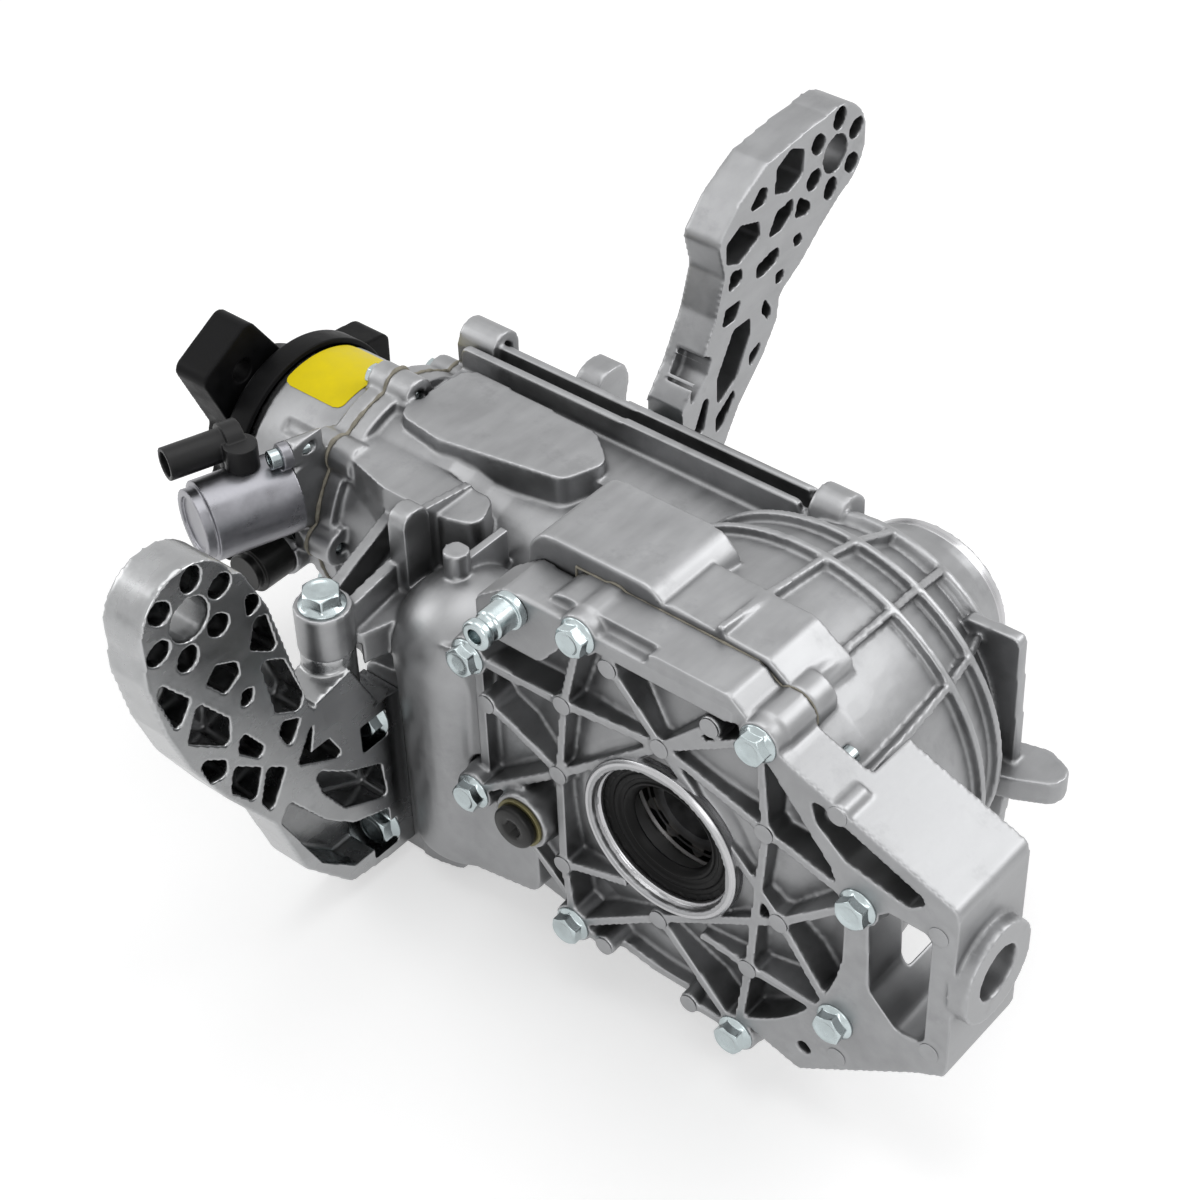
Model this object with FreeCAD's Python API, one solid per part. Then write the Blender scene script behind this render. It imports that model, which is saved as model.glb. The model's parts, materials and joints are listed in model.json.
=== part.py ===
"""Rear differential of an all-wheel-drive car, with its clutch, casings and mounting arms.

Sizes are in millimetres. The origin is the centre of the left output bore, at its machined
face. X points to the rear, along the input axis; Y points to the right, along the output
axis, into the casing; Z points up.
"""
import FreeCAD
import Part
import math
import os

V = FreeCAD.Vector

# Axes and main stations
INPUT_Y = 110.0             # input axis, measured along the output axis from the bore face
PARTING_Y = 27.0            # joint between the side cover and the main housing
RIGHT_FACE_Y = 199.0        # machined face of the right output bore
CLUTCH_JOINT_X = -245.0     # joint between the clutch cover and the main housing
COVER_FRONT_X = -303.0      # front face of the clutch cover
RUN_GAP = 0.05              # radial running clearance
SEAL_FILM = 0.4             # thickness of the sealant in a joint

# Side cover and gear case
CASE_RADIUS = 96.0
COVER_FLOOR_Y = 17.0
COVER_FLOOR = 6.5
RIB_FACE_Y = 3.0
RIB_WIDTH = 4.2
DISC_RADIUS = 4.9
DISC_RISE = 0.8
COLLAR_RADIUS = 38.0
SEAL_BORE = 34.0
LIP_BORE = 35.0
SEAL_DEPTH = 4.0             # depth of a seal behind the machined face
BOLT_BOSS = 10.5
FLANGE_THICKNESS = 13.0

# Fasteners
M8 = 8.0
M10 = 10.0
COVER_BOLT_LENGTH = 38.0

# Output side
OUTPUT_BORE = 13.0          # splined bore of a side gear
TRUNNION_RADIUS = 20.0
BEARING_RADIUS = 35.0       # bearing cups of the differential case
BEARING_WIDTH = 17.0
LEFT_BEARING_Y = 24.0
RIGHT_BEARING_Y = 160.0
SEAL_WIDTH = 9.0
SEAL_LIP = 20.0

# Bevel drive
RING_TEETH = 38
PINION_TEETH = 15
GEAR_MODULE = 3.58
FACE_WIDTH = 24.0
TOOTH_FILL = 0.80           # share of the ideal tooth thickness that is left
RING_TWIST = 5.0            # turn of a ring tooth over the face width, degrees
RING_BACK_Y = 66.0
RING_BORE = 43.0
RING_BOLT_CIRCLE = 55.0
RING_BOLTS = 8

# Differential gears
DIFF_CENTRE_Y = 101.0
SIDE_TEETH = 14
SPIDER_TEETH = 10
DIFF_MODULE = 3.7
DIFF_FACE = 11.0
CASE_INSIDE = 35.6
CASE_OUTSIDE = 41.0
CROSS_PIN = 8.0

# Pinion shaft
PINION_SHAFT = 16.0
PINION_CUP = 33.0
PINION_BEARING_WIDTH = 17.0
HEAD_BEARING_X = -94.0
TAIL_BEARING_X = -160.0
NECK_RADIUS = 43.0

# Clutch
BARREL_RADIUS = 53.0
DRUM_RADIUS = 42.0
DRUM_START_X = -187.0
DRUM_WALL = 3.0
PLATE_PAIRS = 5
PLATE_THICKNESS = 1.9
CLUTCH_SCREWS = 8
CLUTCH_SCREW_CIRCLE = 56.0
CLUTCH_LOBE = 9.0
CLUTCH_FIRST_ANGLE = 87.0

# Input flange
INPUT_SHAFT = 15.0
HUB_RADIUS = 20.0
FLANGE_X = COVER_FRONT_X - 17.0
FLANGE_PLATE = 21.0
FLANGE_ARMS = 3
FLANGE_FIRST_ANGLE = -2.0
FLANGE_BOLT_CIRCLE = 54.0
FLANGE_HOLE = 6.1
FLANGE_REACH = 72.0
FLANGE_ARM_WIDTH = 38.0

# Mounting arms
ARM_FACE_X = -165.0
ARM_THICKNESS = 22.0
ARM_BORE = 10.2
ARM_HEAD = 26.0
ARM_FLOOR = 6.0             # metal left under the pockets
LEFT_BORE_Y = -89.0
LEFT_BORE_Z = 93.0
RIGHT_BORE_Y = 348.0
RIGHT_BORE_Z = 97.0
POCKET_CORNER = 2.2
HEAD_POCKETS = 6
HEAD_POCKET_CIRCLE = 18.6
HEAD_POCKET_RADIUS = 5.2

# Rear ear of the side cover
EAR_REAR_X = 142.0
EAR_DEPTH = 48.0
EAR_WALL = 11.0
EAR_HOLE = 12.5
EAR_PAD = 23.0
EAR_PAD_HEIGHT = 7.0
EAR_HOLE_Y = 24.0
EAR_HOLE_Z = 4.0

INPUT = (INPUT_Y, 0.0)
OUTPUT = (0.0, 0.0)
DIRECTION = {"X": V(1, 0, 0), "Y": V(0, 1, 0), "Z": V(0, 0, 1)}


# Shape helpers

def point(axis, along, u, v):
    """A point at a distance along an axis, with its other two coordinates in X, Y, Z order."""
    if axis == "X":
        return V(along, u, v)
    if axis == "Y":
        return V(u, along, v)
    return V(u, v, along)


def polar(centre, radius, angle):
    """A point on a circle, as two plane coordinates; the angle is in degrees."""
    turn = math.radians(angle)
    return (centre[0] + radius * math.cos(turn), centre[1] + radius * math.sin(turn))


def rod(axis, start, end, radius, centre):
    """A cylinder along an axis, from start to end."""
    low = min(start, end)
    return Part.makeCylinder(radius, abs(end - start), point(axis, low, *centre), DIRECTION[axis])


def ring(axis, start, end, inner, outer, centre):
    """A plain ring along an axis."""
    return rod(axis, start, end, outer, centre).cut(rod(axis, start, end, inner, centre))


def lathe(axis, profile, centre):
    """A turned solid from a closed outline of (distance along the axis, radius) points."""
    corners = [point(axis, s, centre[0] + r, centre[1]) for s, r in profile]
    wire = Part.makePolygon(corners + corners[:1])
    return Part.Face(wire).revolve(point(axis, 0, *centre), DIRECTION[axis], 360)


def rounded_wire(axis, along, corners, radius):
    """A closed outline in a plane across an axis, its corners rounded where they have room."""
    points = [point(axis, along, u, v) for u, v in corners]
    bends = []
    for i in range(len(points)):
        before = points[i - 1] - points[i]
        after = points[(i + 1) % len(points)] - points[i]
        half = before.getAngle(after) / 2
        if half > math.radians(88):
            continue
        reach = min(radius / math.tan(half), 0.45 * before.Length, 0.45 * after.Length)
        bend = reach * math.tan(half)
        first = points[i] + before.normalize() * reach
        last = points[i] + after.normalize() * reach
        inward = (before + after).normalize()
        middle = points[i] + inward * (bend / math.sin(half) - bend)
        bends.append((first, middle, last))
    parts = []
    for i in range(len(bends)):
        first, middle, last = bends[i]
        parts.append(Part.Arc(first, middle, last).toShape())
        parts.append(Part.makeLine(last, bends[(i + 1) % len(bends)][0]))
    return Part.Wire(parts)


def slab(axis, start, end, corners, radius=0.0):
    """A prism along an axis over an outline, with rounded corners if a radius is given."""
    if radius > 0:
        wire = rounded_wire(axis, start, corners, radius)
    else:
        points = [point(axis, start, u, v) for u, v in corners]
        wire = Part.makePolygon(points + points[:1])
    return Part.Face(wire).extrude(DIRECTION[axis] * (end - start))


def bar(axis, start, end, p, q, width):
    """A straight rib between two points of a plane."""
    run = math.hypot(q[0] - p[0], q[1] - p[1])
    nu = -(q[1] - p[1]) / run * width / 2
    nv = (q[0] - p[0]) / run * width / 2
    corners = [(p[0] + nu, p[1] + nv), (q[0] + nu, q[1] + nv),
               (q[0] - nu, q[1] - nv), (p[0] - nu, p[1] - nv)]
    return slab(axis, start, end, corners)


def strap(axis, start, end, p, q, radius):
    """A bar with round ends, such as the belt round two equal pulleys."""
    return joined([bar(axis, start, end, p, q, 2 * radius),
                   rod(axis, start, end, radius, p), rod(axis, start, end, radius, q)])


def joined(shapes):
    """One solid fused from several."""
    if len(shapes) == 1:
        return shapes[0]
    return shapes[0].multiFuse(shapes[1:]).removeSplitter()


def without(shape, tools):
    """A shape with the tools cut away."""
    return shape.cut(Part.makeCompound(tools))


def spun(shape, axis, centre, angles):
    """Copies of a shape turned about an axis."""
    copies = []
    for angle in angles:
        copy = shape.copy()
        copy.rotate(point(axis, 0, *centre), DIRECTION[axis], angle)
        copies.append(copy)
    return copies


def evenly(count, first=0.0):
    """Angles of an even pattern."""
    return [first + i * 360.0 / count for i in range(count)]


# Fasteners

def flange_bolt(axis, seat, centre, size, length, sense=1):
    """A hex flange bolt; its shank runs from the seat in the given sense, its head the other way."""
    head = 0.85 * size
    across = 1.6 * size if size > M8 else 1.62 * size
    washer = 1.08 * size
    corners = [polar(centre, across / 2 / math.cos(math.pi / 6), a) for a in evenly(6, 10)]
    hexagon = slab(axis, seat, seat - sense * head, corners)
    flange = lathe(axis, [(seat, 0), (seat, washer), (seat - sense * 0.1 * size, washer),
                          (seat - sense * 0.3 * size, across / 2), (seat - sense * 0.3 * size, 0)],
                   centre)
    shank = rod(axis, seat - sense * 0.1, seat + sense * length, size / 2, centre)
    return joined([hexagon, flange, shank])


def bolt_hole(axis, seat, centre, size, length, sense=1):
    """The hole for a bolt, a little wider and deeper than its shank."""
    return rod(axis, seat - sense * 1, seat + sense * (length + 2), size / 2 + 0.15, centre)


# Side cover places, as (X, Z) across the output axis

COVER_BOLTS = [(48, 82), (97, 24), (89, -49), (39, -93), (-51, -86), (-106, -38), (-103, 43), (-41, 88)]
DISC_A = (-94, 21)
DISC_B = (-51, 45)
DISC_C = (-26, 79)
DISC_D = (0, 51)
DISC_E = (25, 77)
DISC_F = (-55, 3)
DISC_G = (52, 36)
DISC_H = (-55, -51)
DISC_I = (-2, -50)
DISC_J = (60, -10)
DISC_K = (45, -48)
DISC_L = (86, 67)
DISC_M = (134, 33)
DISC_N = (134, -34)
DISC_O = (91, -69)
DISC_P = (-33, -88)
DISC_Q = (14, -92)
DISCS = [DISC_A, DISC_B, DISC_C, DISC_D, DISC_E, DISC_F, DISC_G, DISC_H, DISC_I, DISC_J, DISC_K,
         DISC_L, DISC_M, DISC_N, DISC_O, DISC_P, DISC_Q]
PLUG_PLACE = (-74, -33)
NIPPLE_PLACE = (-76, 84)


def cover_ribs_plan():
    """The triangulated ribs of the side cover, as pairs of ends."""
    b = COVER_BOLTS
    return [(b[7], DISC_B), (DISC_B, DISC_F), (DISC_F, DISC_H), (DISC_H, b[4]),
            (b[6], DISC_B), (DISC_B, DISC_D), (b[5], DISC_F), (DISC_F, DISC_D), (DISC_D, b[0]),
            (DISC_A, DISC_F), (DISC_C, DISC_D), (DISC_D, DISC_J), (DISC_J, b[2]),
            (DISC_D, DISC_G), (DISC_G, b[1]), (b[0], DISC_G), (DISC_G, DISC_K), (DISC_K, b[3]),
            (b[4], DISC_I), (DISC_I, DISC_J), (DISC_J, b[1]), (DISC_H, (-20, -40)),
            ((20, -45), DISC_K), (DISC_K, b[2]), (DISC_I, b[3]), (b[0], b[1]), (DISC_Q, b[3]),
            (DISC_E, DISC_D), (DISC_P, b[4])]


def case_outline(start, end, grow=0.0):
    """The outline of the gear case joint: a round case with a lobe towards the pinion."""
    lobe = 19.0 + grow
    low = (-88.0, -38.0)
    high = (-88.0, 40.0)
    shapes = [rod("Y", start, end, CASE_RADIUS + grow, OUTPUT),
              strap("Y", start, end, low, high, lobe),
              slab("Y", start, end, [(-88 - lobe, -38), (-88 - lobe, 40), (-60, 92 + grow), (0, 96 + grow),
                                     (0, -94 - grow), (-50, -92 - grow)]),
              slab("Y", start, end, [(-62, 60), (-62, 97 + grow), (30, 97 + grow), (58, 80), (58, 60)], 8)]
    for place in COVER_BOLTS:
        shapes.append(rod("Y", start, end, BOLT_BOSS + grow, place))
    return joined(shapes)


def ear():
    """The rear mounting ear: a box frame with a window and a round hole for the rear bush."""
    low = RIB_FACE_Y
    high = RIB_FACE_Y + EAR_DEPTH
    frame = slab("Y", low, high, [(40, 90), (62, 79), (EAR_REAR_X, 49), (EAR_REAR_X, -44),
                                  (128, -52), (100, -72), (72, -92), (30, -80)], 5)
    inner = EAR_REAR_X - EAR_WALL
    window = slab("Y", low - 1, high + 1, [(inner, 30), (inner, -33), (118, -34), (104, -20), (102, 22),
                                           (112, 30)], 6)
    notch = slab("Y", low - 1, low + 30, [(72, 69), (inner - 2, 46), (inner - 12, 38), (90, 44), (76, 56)], 3)
    pad = rod("X", EAR_REAR_X - 2, EAR_REAR_X + EAR_PAD_HEIGHT, EAR_PAD, (EAR_HOLE_Y, EAR_HOLE_Z))
    hole = rod("X", inner - 2, EAR_REAR_X + EAR_PAD_HEIGHT + 1, EAR_HOLE, (EAR_HOLE_Y, EAR_HOLE_Z))
    recess = slab("Y", PARTING_Y + 14, high + 1, [(84, -48), (inner - 30, -52), (inner - 14, -44),
                                                  (104, -34)])
    solid = joined([frame, pad])
    keep_clear = rod("Y", PARTING_Y - 0.2, high + 2, CASE_RADIUS + BOLT_BOSS + 3, OUTPUT)
    joint = case_outline(PARTING_Y - 0.2, PARTING_Y + SEAL_FILM + FLANGE_THICKNESS + 1, 0.6)
    return without(solid, [window, notch, hole, recess, keep_clear, joint, ear_clearance()])


def ear_clearance():
    """The round space of the ribbed panel, which the ear stays out of."""
    return rod("Y", RIB_FACE_Y - 1, COVER_FLOOR_Y, CASE_RADIUS - 5, OUTPUT)


def side_cover():
    """The ribbed cover over the gear case, with the left seal collar and the rear ear."""
    floor = COVER_FLOOR_Y
    plate = case_outline(floor, PARTING_Y)
    dome = lathe("Y", [(8, 0), (8, 46), (floor, 78), (floor + 1, 78), (floor + 1, 0)], OUTPUT)
    rim = case_outline(10, floor + 1).cut(case_outline(9, floor + 2, -5.0))
    crown = slab("Y", RIB_FACE_Y, PARTING_Y, [(-96, 62), (-62, 62), (-44, 84), (36, 84), (36, 91), (-58, 93),
                                              (-80, 92), (-96, 80)], 4)
    pad = slab("Y", RIB_FACE_Y + 1, PARTING_Y, [(-10, 84), (34, 84), (46, 86), (33, 97), (-6, 97)], 3)
    bosses = []
    for place in COVER_BOLTS:
        bosses.append(lathe("Y", [(RIB_FACE_Y, 0), (RIB_FACE_Y, BOLT_BOSS - 1), (floor, BOLT_BOSS),
                                  (PARTING_Y, BOLT_BOSS), (PARTING_Y, 0)], place))
    ribs = [bar("Y", RIB_FACE_Y, floor + 1, p, q, RIB_WIDTH) for p, q in cover_ribs_plan()]
    discs = [rod("Y", RIB_FACE_Y - DISC_RISE, floor + 1, DISC_RADIUS, place) for place in DISCS]
    collar = lathe("Y", [(0, 0), (0, COLLAR_RADIUS), (6, COLLAR_RADIUS + 1), (10, 46), (26, 47),
                         (LEFT_BEARING_Y + BEARING_WIDTH, 42), (LEFT_BEARING_Y + BEARING_WIDTH, 0)], OUTPUT)
    plug_boss = lathe("Y", [(RIB_FACE_Y - 5, 0), (RIB_FACE_Y - 5, 14), (floor, 16), (floor + 1, 16),
                            (floor + 1, 0)], PLUG_PLACE)
    solid = joined([plate, dome, rim, crown, pad, collar, plug_boss, ear()] + bosses + ribs + discs)
    inside = lathe("Y", [(floor + COVER_FLOOR, 0), (floor + COVER_FLOOR, CASE_RADIUS - 14),
                         (PARTING_Y + 1, CASE_RADIUS - 10), (PARTING_Y + 1, 0)], OUTPUT)
    hub = lathe("Y", [(floor - 2, 0), (floor - 2, 47), (floor + 6, 47.5), (PARTING_Y + 1, 47), (LEFT_BEARING_Y +
                      BEARING_WIDTH + 1, 42), (LEFT_BEARING_Y + BEARING_WIDTH + 1, 0)], OUTPUT)
    bores = [lathe("Y", [(-1, 0), (-1, LIP_BORE), (SEAL_DEPTH, LIP_BORE), (SEAL_DEPTH, SEAL_BORE),
                         (SEAL_DEPTH + SEAL_WIDTH, SEAL_BORE), (SEAL_DEPTH + SEAL_WIDTH, 30),
                         (LEFT_BEARING_Y, 30), (LEFT_BEARING_Y, BEARING_RADIUS),
                         (LEFT_BEARING_Y + BEARING_WIDTH + 1, BEARING_RADIUS),
                         (LEFT_BEARING_Y + BEARING_WIDTH + 1, 0)], OUTPUT),
             rod("Y", -10, PARTING_Y + 5, 8.15, PLUG_PLACE),
             rod("Y", RIB_FACE_Y - 1, 24, 4.1, NIPPLE_PLACE),
             rod("Y", RIB_FACE_Y - 1, 12, 3.2, (74, -77))]
    for place in COVER_BOLTS:
        bores.append(bolt_hole("Y", RIB_FACE_Y, place, M8, COVER_BOLT_LENGTH))
    for place in DOWELS:
        bores.append(rod("Y", PARTING_Y - DOWEL_LENGTH / 2 - 0.5, PARTING_Y + 1, DOWEL_RADIUS, place))
    return without(solid, [inside.cut(hub)] + bores)


DOWELS = [(70, 66), (-66, -66)]
DOWEL_RADIUS = 4.0
DOWEL_LENGTH = 14.0


def cover_sealant():
    """The film of sealant between the side cover and the main housing."""
    film = case_outline(PARTING_Y, PARTING_Y + SEAL_FILM, -1.0)
    tools = [rod("Y", PARTING_Y - 1, PARTING_Y + 2, CASE_RADIUS - 8, OUTPUT)]
    for place in COVER_BOLTS:
        tools.append(rod("Y", PARTING_Y - 1, PARTING_Y + 2, M8 / 2 + 0.5, place))
    for place in DOWELS:
        tools.append(rod("Y", PARTING_Y - 1, PARTING_Y + 2, DOWEL_RADIUS + 0.3, place))
    return without(film, tools)


def cover_dowels():
    """Two dowels that line up the side cover."""
    start = PARTING_Y - DOWEL_LENGTH / 2
    return Part.makeCompound([rod("Y", start, start + DOWEL_LENGTH, DOWEL_RADIUS - 0.02, p) for p in DOWELS])


def side_cover_bolts():
    """The flange bolts of the side cover."""
    return Part.makeCompound([flange_bolt("Y", RIB_FACE_Y, place, M8, COVER_BOLT_LENGTH)
                              for place in COVER_BOLTS])


# Main housing

def bell():
    """The dome over the ring gear, with its ring ribs and long ribs."""
    start = PARTING_Y + SEAL_FILM
    shell = lathe("Y", [(start, 0), (start, CASE_RADIUS), (42, 97), (60, 95), (80, 92), (100, 88.5), (123, 80.5),
                        (150, 65), (172, 46), (182, 42), (188, 40), (RIGHT_FACE_Y, 39),
                        (RIGHT_FACE_Y, 0)], OUTPUT)
    rings = [lathe("Y", [(95, 0), (95, 86), (97, 93.5), (100, 93.5), (104, 80), (104, 0)], OUTPUT),
             lathe("Y", [(118, 0), (118, 78), (120, 86.5), (123, 86.5), (127, 72), (127, 0)], OUTPUT),
             lathe("Y", [(144, 0), (144, 64), (150, 71.5), (153.5, 71), (156, 56), (156, 0)], OUTPUT)]
    long_ribs = []
    for angle in (84, 62, 38, -66, -92, -120):
        outline = [(start, 60), (start, 104), (56, 101), (98, 93), (122, 86), (152, 71), (153, 30), (120, 40)]
        points = [V(r, y, -1.8) for y, r in outline]
        rib = Part.Face(Part.makePolygon(points + points[:1])).extrude(V(0, 0, 3.6))
        rib.rotate(V(0, 0, 0), V(0, 1, 0), -angle)
        long_ribs.append(rib)
    return [shell] + rings + long_ribs


def barrel():
    """The clutch barrel and the pinion neck, turned about the input axis."""
    joint = CLUTCH_JOINT_X + SEAL_FILM
    body = lathe("X", [(joint, 0), (joint, BARREL_RADIUS), (-190, BARREL_RADIUS), (-180, 50), (-171, 45),
                       (-160, NECK_RADIUS), (-100, NECK_RADIUS), (-62, 47), (-62, 0)], INPUT)
    lobes = []
    for angle in evenly(CLUTCH_SCREWS, CLUTCH_FIRST_ANGLE):
        place = polar(INPUT, CLUTCH_SCREW_CIRCLE, angle)
        lobes.append(rod("X", joint, joint + 14, CLUTCH_LOBE, place))
        lobes.append(bar("X", joint, joint + 14, INPUT, place, 2 * CLUTCH_LOBE + 3))
    flange = rod("X", joint, joint + 9, BARREL_RADIUS + 5, INPUT)
    return [body, flange] + lobes


def top_block():
    """The flat-topped breather chamber over the pinion side of the gear case."""
    start = PARTING_Y + SEAL_FILM
    base = slab("Y", start, 74, [(-88, 60), (-88, 96), (-80, 105), (-24, 105), (-14, 96), (-14, 60)], 12)
    step = slab("Y", start, 60, [(-20, 70), (-20, 101), (34, 99), (52, 86), (52, 60)], 6)
    return [base, step]


def barrel_details():
    """Pads, long side ribs, lugs and gussets on the barrel and the neck."""
    pad = slab("Z", 20, 58, [(-230, 96), (-226, 143), (-146, 140), (-128, 126), (-136, 104), (-200, 92)], 9)
    web_low = slab("Y", 148, 152, [(-236, -20), (-236, 62), (-40, 64), (-28, 30), (-60, -30)], 3)
    web_high = slab("Y", 159, 163, [(-236, -20), (-236, 62), (-40, 64), (-28, 30), (-60, -30)], 3)
    tray = slab("Z", 38, 50, [(-236, 120), (-236, 161), (-20, 161), (-20, 120)])
    deck = slab("Z", -24, -18, [(-236, 120), (-236, 161), (-50, 161), (-50, 120)])
    eye = rod("X", -244, -222, 9.5, (164, 58))
    eye_foot = slab("X", -244, -222, [(154, 20), (154, 58), (173, 58), (173, 40), (164, 20)])
    fin = slab("X", -182, -168, [(160, -10), (160, 50), (172, 62), (186, 62), (190, 52), (176, -10)], 6)
    boss = rod("X", -33, -17, 11, (156, 62))
    boss_foot = slab("X", -32, -18, [(145, 30), (145, 62), (167, 62), (167, 40), (158, 30)])
    post = joined([slab("X", -180, -170, [(37, 2), (37, 61), (53, 61), (53, 2)], 6),
                   slab("X", -177, -173, [(48, 2), (48, 56), (84, 50), (84, 2)])])
    pin = joined([rod("Z", 14, 52, 6, (-146, 44)), slab("Z", 14, 44, [(-148, 44), (-144, 44), (-144, 75),
                                                                     (-148, 75)])])
    boss_top = joined([rod("Z", ARM_SEAT_Z, LEFT_TOP_SEAT_Z, 13, LEFT_TOP_BOLT),
                       bar("Z", ARM_SEAT_Z, LEFT_TOP_SEAT_Z - 2, (-183, -6), (-204, 66), 6),
                       bar("Z", ARM_SEAT_Z, LEFT_TOP_SEAT_Z - 4, (-174, -2), (-184, 72), 6),
                       slab("Z", ARM_SEAT_Z - 12, ARM_SEAT_Z + 5, [(-192, 2), (-168, 2), (-150, 60), (-160, 84),
                                                                 (-212, 84), (-212, 60)], 4)])
    shoulder = slab("Z", 10, 48, [(-238, 68), (-238, 90), (-160, 84), (-152, 66), (-170, 60), (-206, 60)], 7)
    return [pad, web_low, web_high, tray, deck, eye, eye_foot, fin, boss, boss_foot, post, pin,
            boss_top, shoulder]


def arm_seats():
    """The pads and lobes that carry the two mounting arms."""
    lobe = [lathe("Z", [(-118, 0), (-118, 18), (-104, 33), (4, 36), (4, 0)], LOBE_PLACE),
            Part.makeSphere(36, V(LOBE_PLACE[0], LOBE_PLACE[1], 4), V(0, 0, 1), -90, 85, 360),
            slab("Y", 14, 80, [(-140, 24), (-96, 36), (-80, 30), (-80, -96), (-140, -108)], 8)]
    foot = slab("Y", 19, 82, [(-186, -124), (-186, -16), (-150, -10), (-130, -20), (-130, -118), (-150, -124)], 9)
    right_foot = slab("Y", 160, 196, [(-189, -72), (-189, 18), (-163, 18), (-163, -72)], 8)
    right_web = slab("Y", 140, 178, [(-189, -66), (-189, 14), (-90, 20), (-60, -20), (-120, -66)], 8)
    return lobe + [foot, right_foot, right_web]


def sump():
    """The bottom of the gear case, with the drain boss, and the lower lugs."""
    belly = slab("Y", PARTING_Y + SEAL_FILM, 84, [(-90, -60), (-110, -104), (-70, -112), (20, -104), (60, -84),
                                                  (40, -60)], 12)
    drain = rod("Y", 60, DRAIN_FACE_Y, 15, DRAIN_PLACE)
    lug = slab("Z", -26, -14, [(60, 124), (86, 132), (104, 141), (104, 152), (90, 158), (60, 150)], 6)
    fin = slab("Y", 141, 147, [(50, -60), (50, 52), (79, 54), (82, -10), (76, -66)], 4)
    low_lug = rod("Y", 27.4, 46, 9, (-128, -104))
    return [belly, drain, lug, fin, low_lug]


DRAIN_PLACE = (-20, -98)
DRAIN_FACE_Y = 92.0


def main_housing():
    """The main casting: gear case, pinion neck and clutch barrel in one piece."""
    start = PARTING_Y + SEAL_FILM
    flange = case_outline(start, start + FLANGE_THICKNESS)
    solid = joined([flange] + bell() + barrel() + top_block() + barrel_details() + arm_seats() + sump())
    cavity = lathe("Y", [(start - 1, 0), (start - 1, CASE_RADIUS - 10), (80, 84), (100, 80), (123, 72),
                         (146, 56), (RIGHT_BEARING_Y - 2, 44), (RIGHT_BEARING_Y - 2, 0)], OUTPUT)
    right = lathe("Y", [(RIGHT_BEARING_Y - 3, 0), (RIGHT_BEARING_Y - 3, BEARING_RADIUS),
                        (RIGHT_BEARING_Y + BEARING_WIDTH, BEARING_RADIUS),
                        (RIGHT_BEARING_Y + BEARING_WIDTH, 29), (RIGHT_FACE_Y - SEAL_DEPTH - SEAL_WIDTH, 29),
                        (RIGHT_FACE_Y - SEAL_DEPTH - SEAL_WIDTH, SEAL_BORE),
                        (RIGHT_FACE_Y - SEAL_DEPTH, SEAL_BORE), (RIGHT_FACE_Y - SEAL_DEPTH, LIP_BORE),
                        (RIGHT_FACE_Y + 1, LIP_BORE), (RIGHT_FACE_Y + 1, 0)], OUTPUT)
    head = HEAD_BEARING_X
    tail = TAIL_BEARING_X
    width = PINION_BEARING_WIDTH
    pinion_bore = lathe("X", [(-50, 0), (-50, 34), (head + width, PINION_CUP + 1.5),
                              (head + width, PINION_CUP), (head, PINION_CUP), (head, 27),
                              (tail + width, 27), (tail + width, PINION_CUP), (tail, PINION_CUP),
                              (tail - 2, PINION_CUP + 2), (-176, 38), (DRUM_START_X + 4, DRUM_RADIUS + 3),
                              (CLUTCH_JOINT_X - 1, DRUM_RADIUS + 3), (CLUTCH_JOINT_X - 1, 0)], INPUT)
    tools = [cavity, right, pinion_bore]
    for place in COVER_BOLTS:
        tools.append(bolt_hole("Y", RIB_FACE_Y, place, M8, COVER_BOLT_LENGTH))
    for place in DOWELS:
        tools.append(rod("Y", PARTING_Y - 1, PARTING_Y + DOWEL_LENGTH / 2 + 1, DOWEL_RADIUS, place))
    for angle in evenly(CLUTCH_SCREWS, CLUTCH_FIRST_ANGLE):
        place = polar(INPUT, CLUTCH_SCREW_CIRCLE, angle)
        tools.append(bolt_hole("X", CLUTCH_JOINT_X - 10, place, 6.0, 26))
    tools.append(rod("Y", 70, DRAIN_FACE_Y + 1, 8.15, DRAIN_PLACE))
    tools.append(rod("X", -246, -218, 4.2, (164, 58)))
    tools.append(rod("X", -42, -20, 4.2, (156, 62)))
    for bolt in LEFT_ARM_SIDE_BOLTS:
        tools.append(bolt_hole("Y", LEFT_FOOT_SEAT_Y, bolt, M10, ARM_BOLT_LENGTH))
    tools.append(bolt_hole("Z", LEFT_TOP_SEAT_Z, LEFT_TOP_BOLT, M10, ARM_BOLT_LENGTH + 4, -1))
    for bolt in RIGHT_ARM_BOLTS:
        tools.append(bolt_hole("Y", RIGHT_FOOT_SEAT_Y, bolt, M10, ARM_BOLT_LENGTH, -1))
    tools.append(left_arm_space())
    tools.append(right_arm_space())
    tools.append(case_outline(-20, start, 1.0))
    tools.append(rod("Y", DRAIN_FACE_Y, DRAIN_FACE_Y + 20, 13.5, DRAIN_PLACE))
    return without(solid, tools)


# Mounting arms

LOBE_PLACE = (-138, 42)
LEFT_ARM_SIDE_BOLTS = [(-174, -36), (-174, -104)]
LEFT_FOOT_SEAT_Y = 10.0
LEFT_TOP_BOLT = (-180, -6)
LEFT_TOP_SEAT_Z = 37.0
ARM_SEAT_Z = 14.0
RIGHT_ARM_BOLTS = [(-176, -58), (-176, 4), (-176, -27)]
RIGHT_FOOT_SEAT_Y = 208.0
FOOT_PLANE_Y = 20.0
RIGHT_PLANE_Y = 196.0
ARM_BOLT_LENGTH = 30.0


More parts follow.
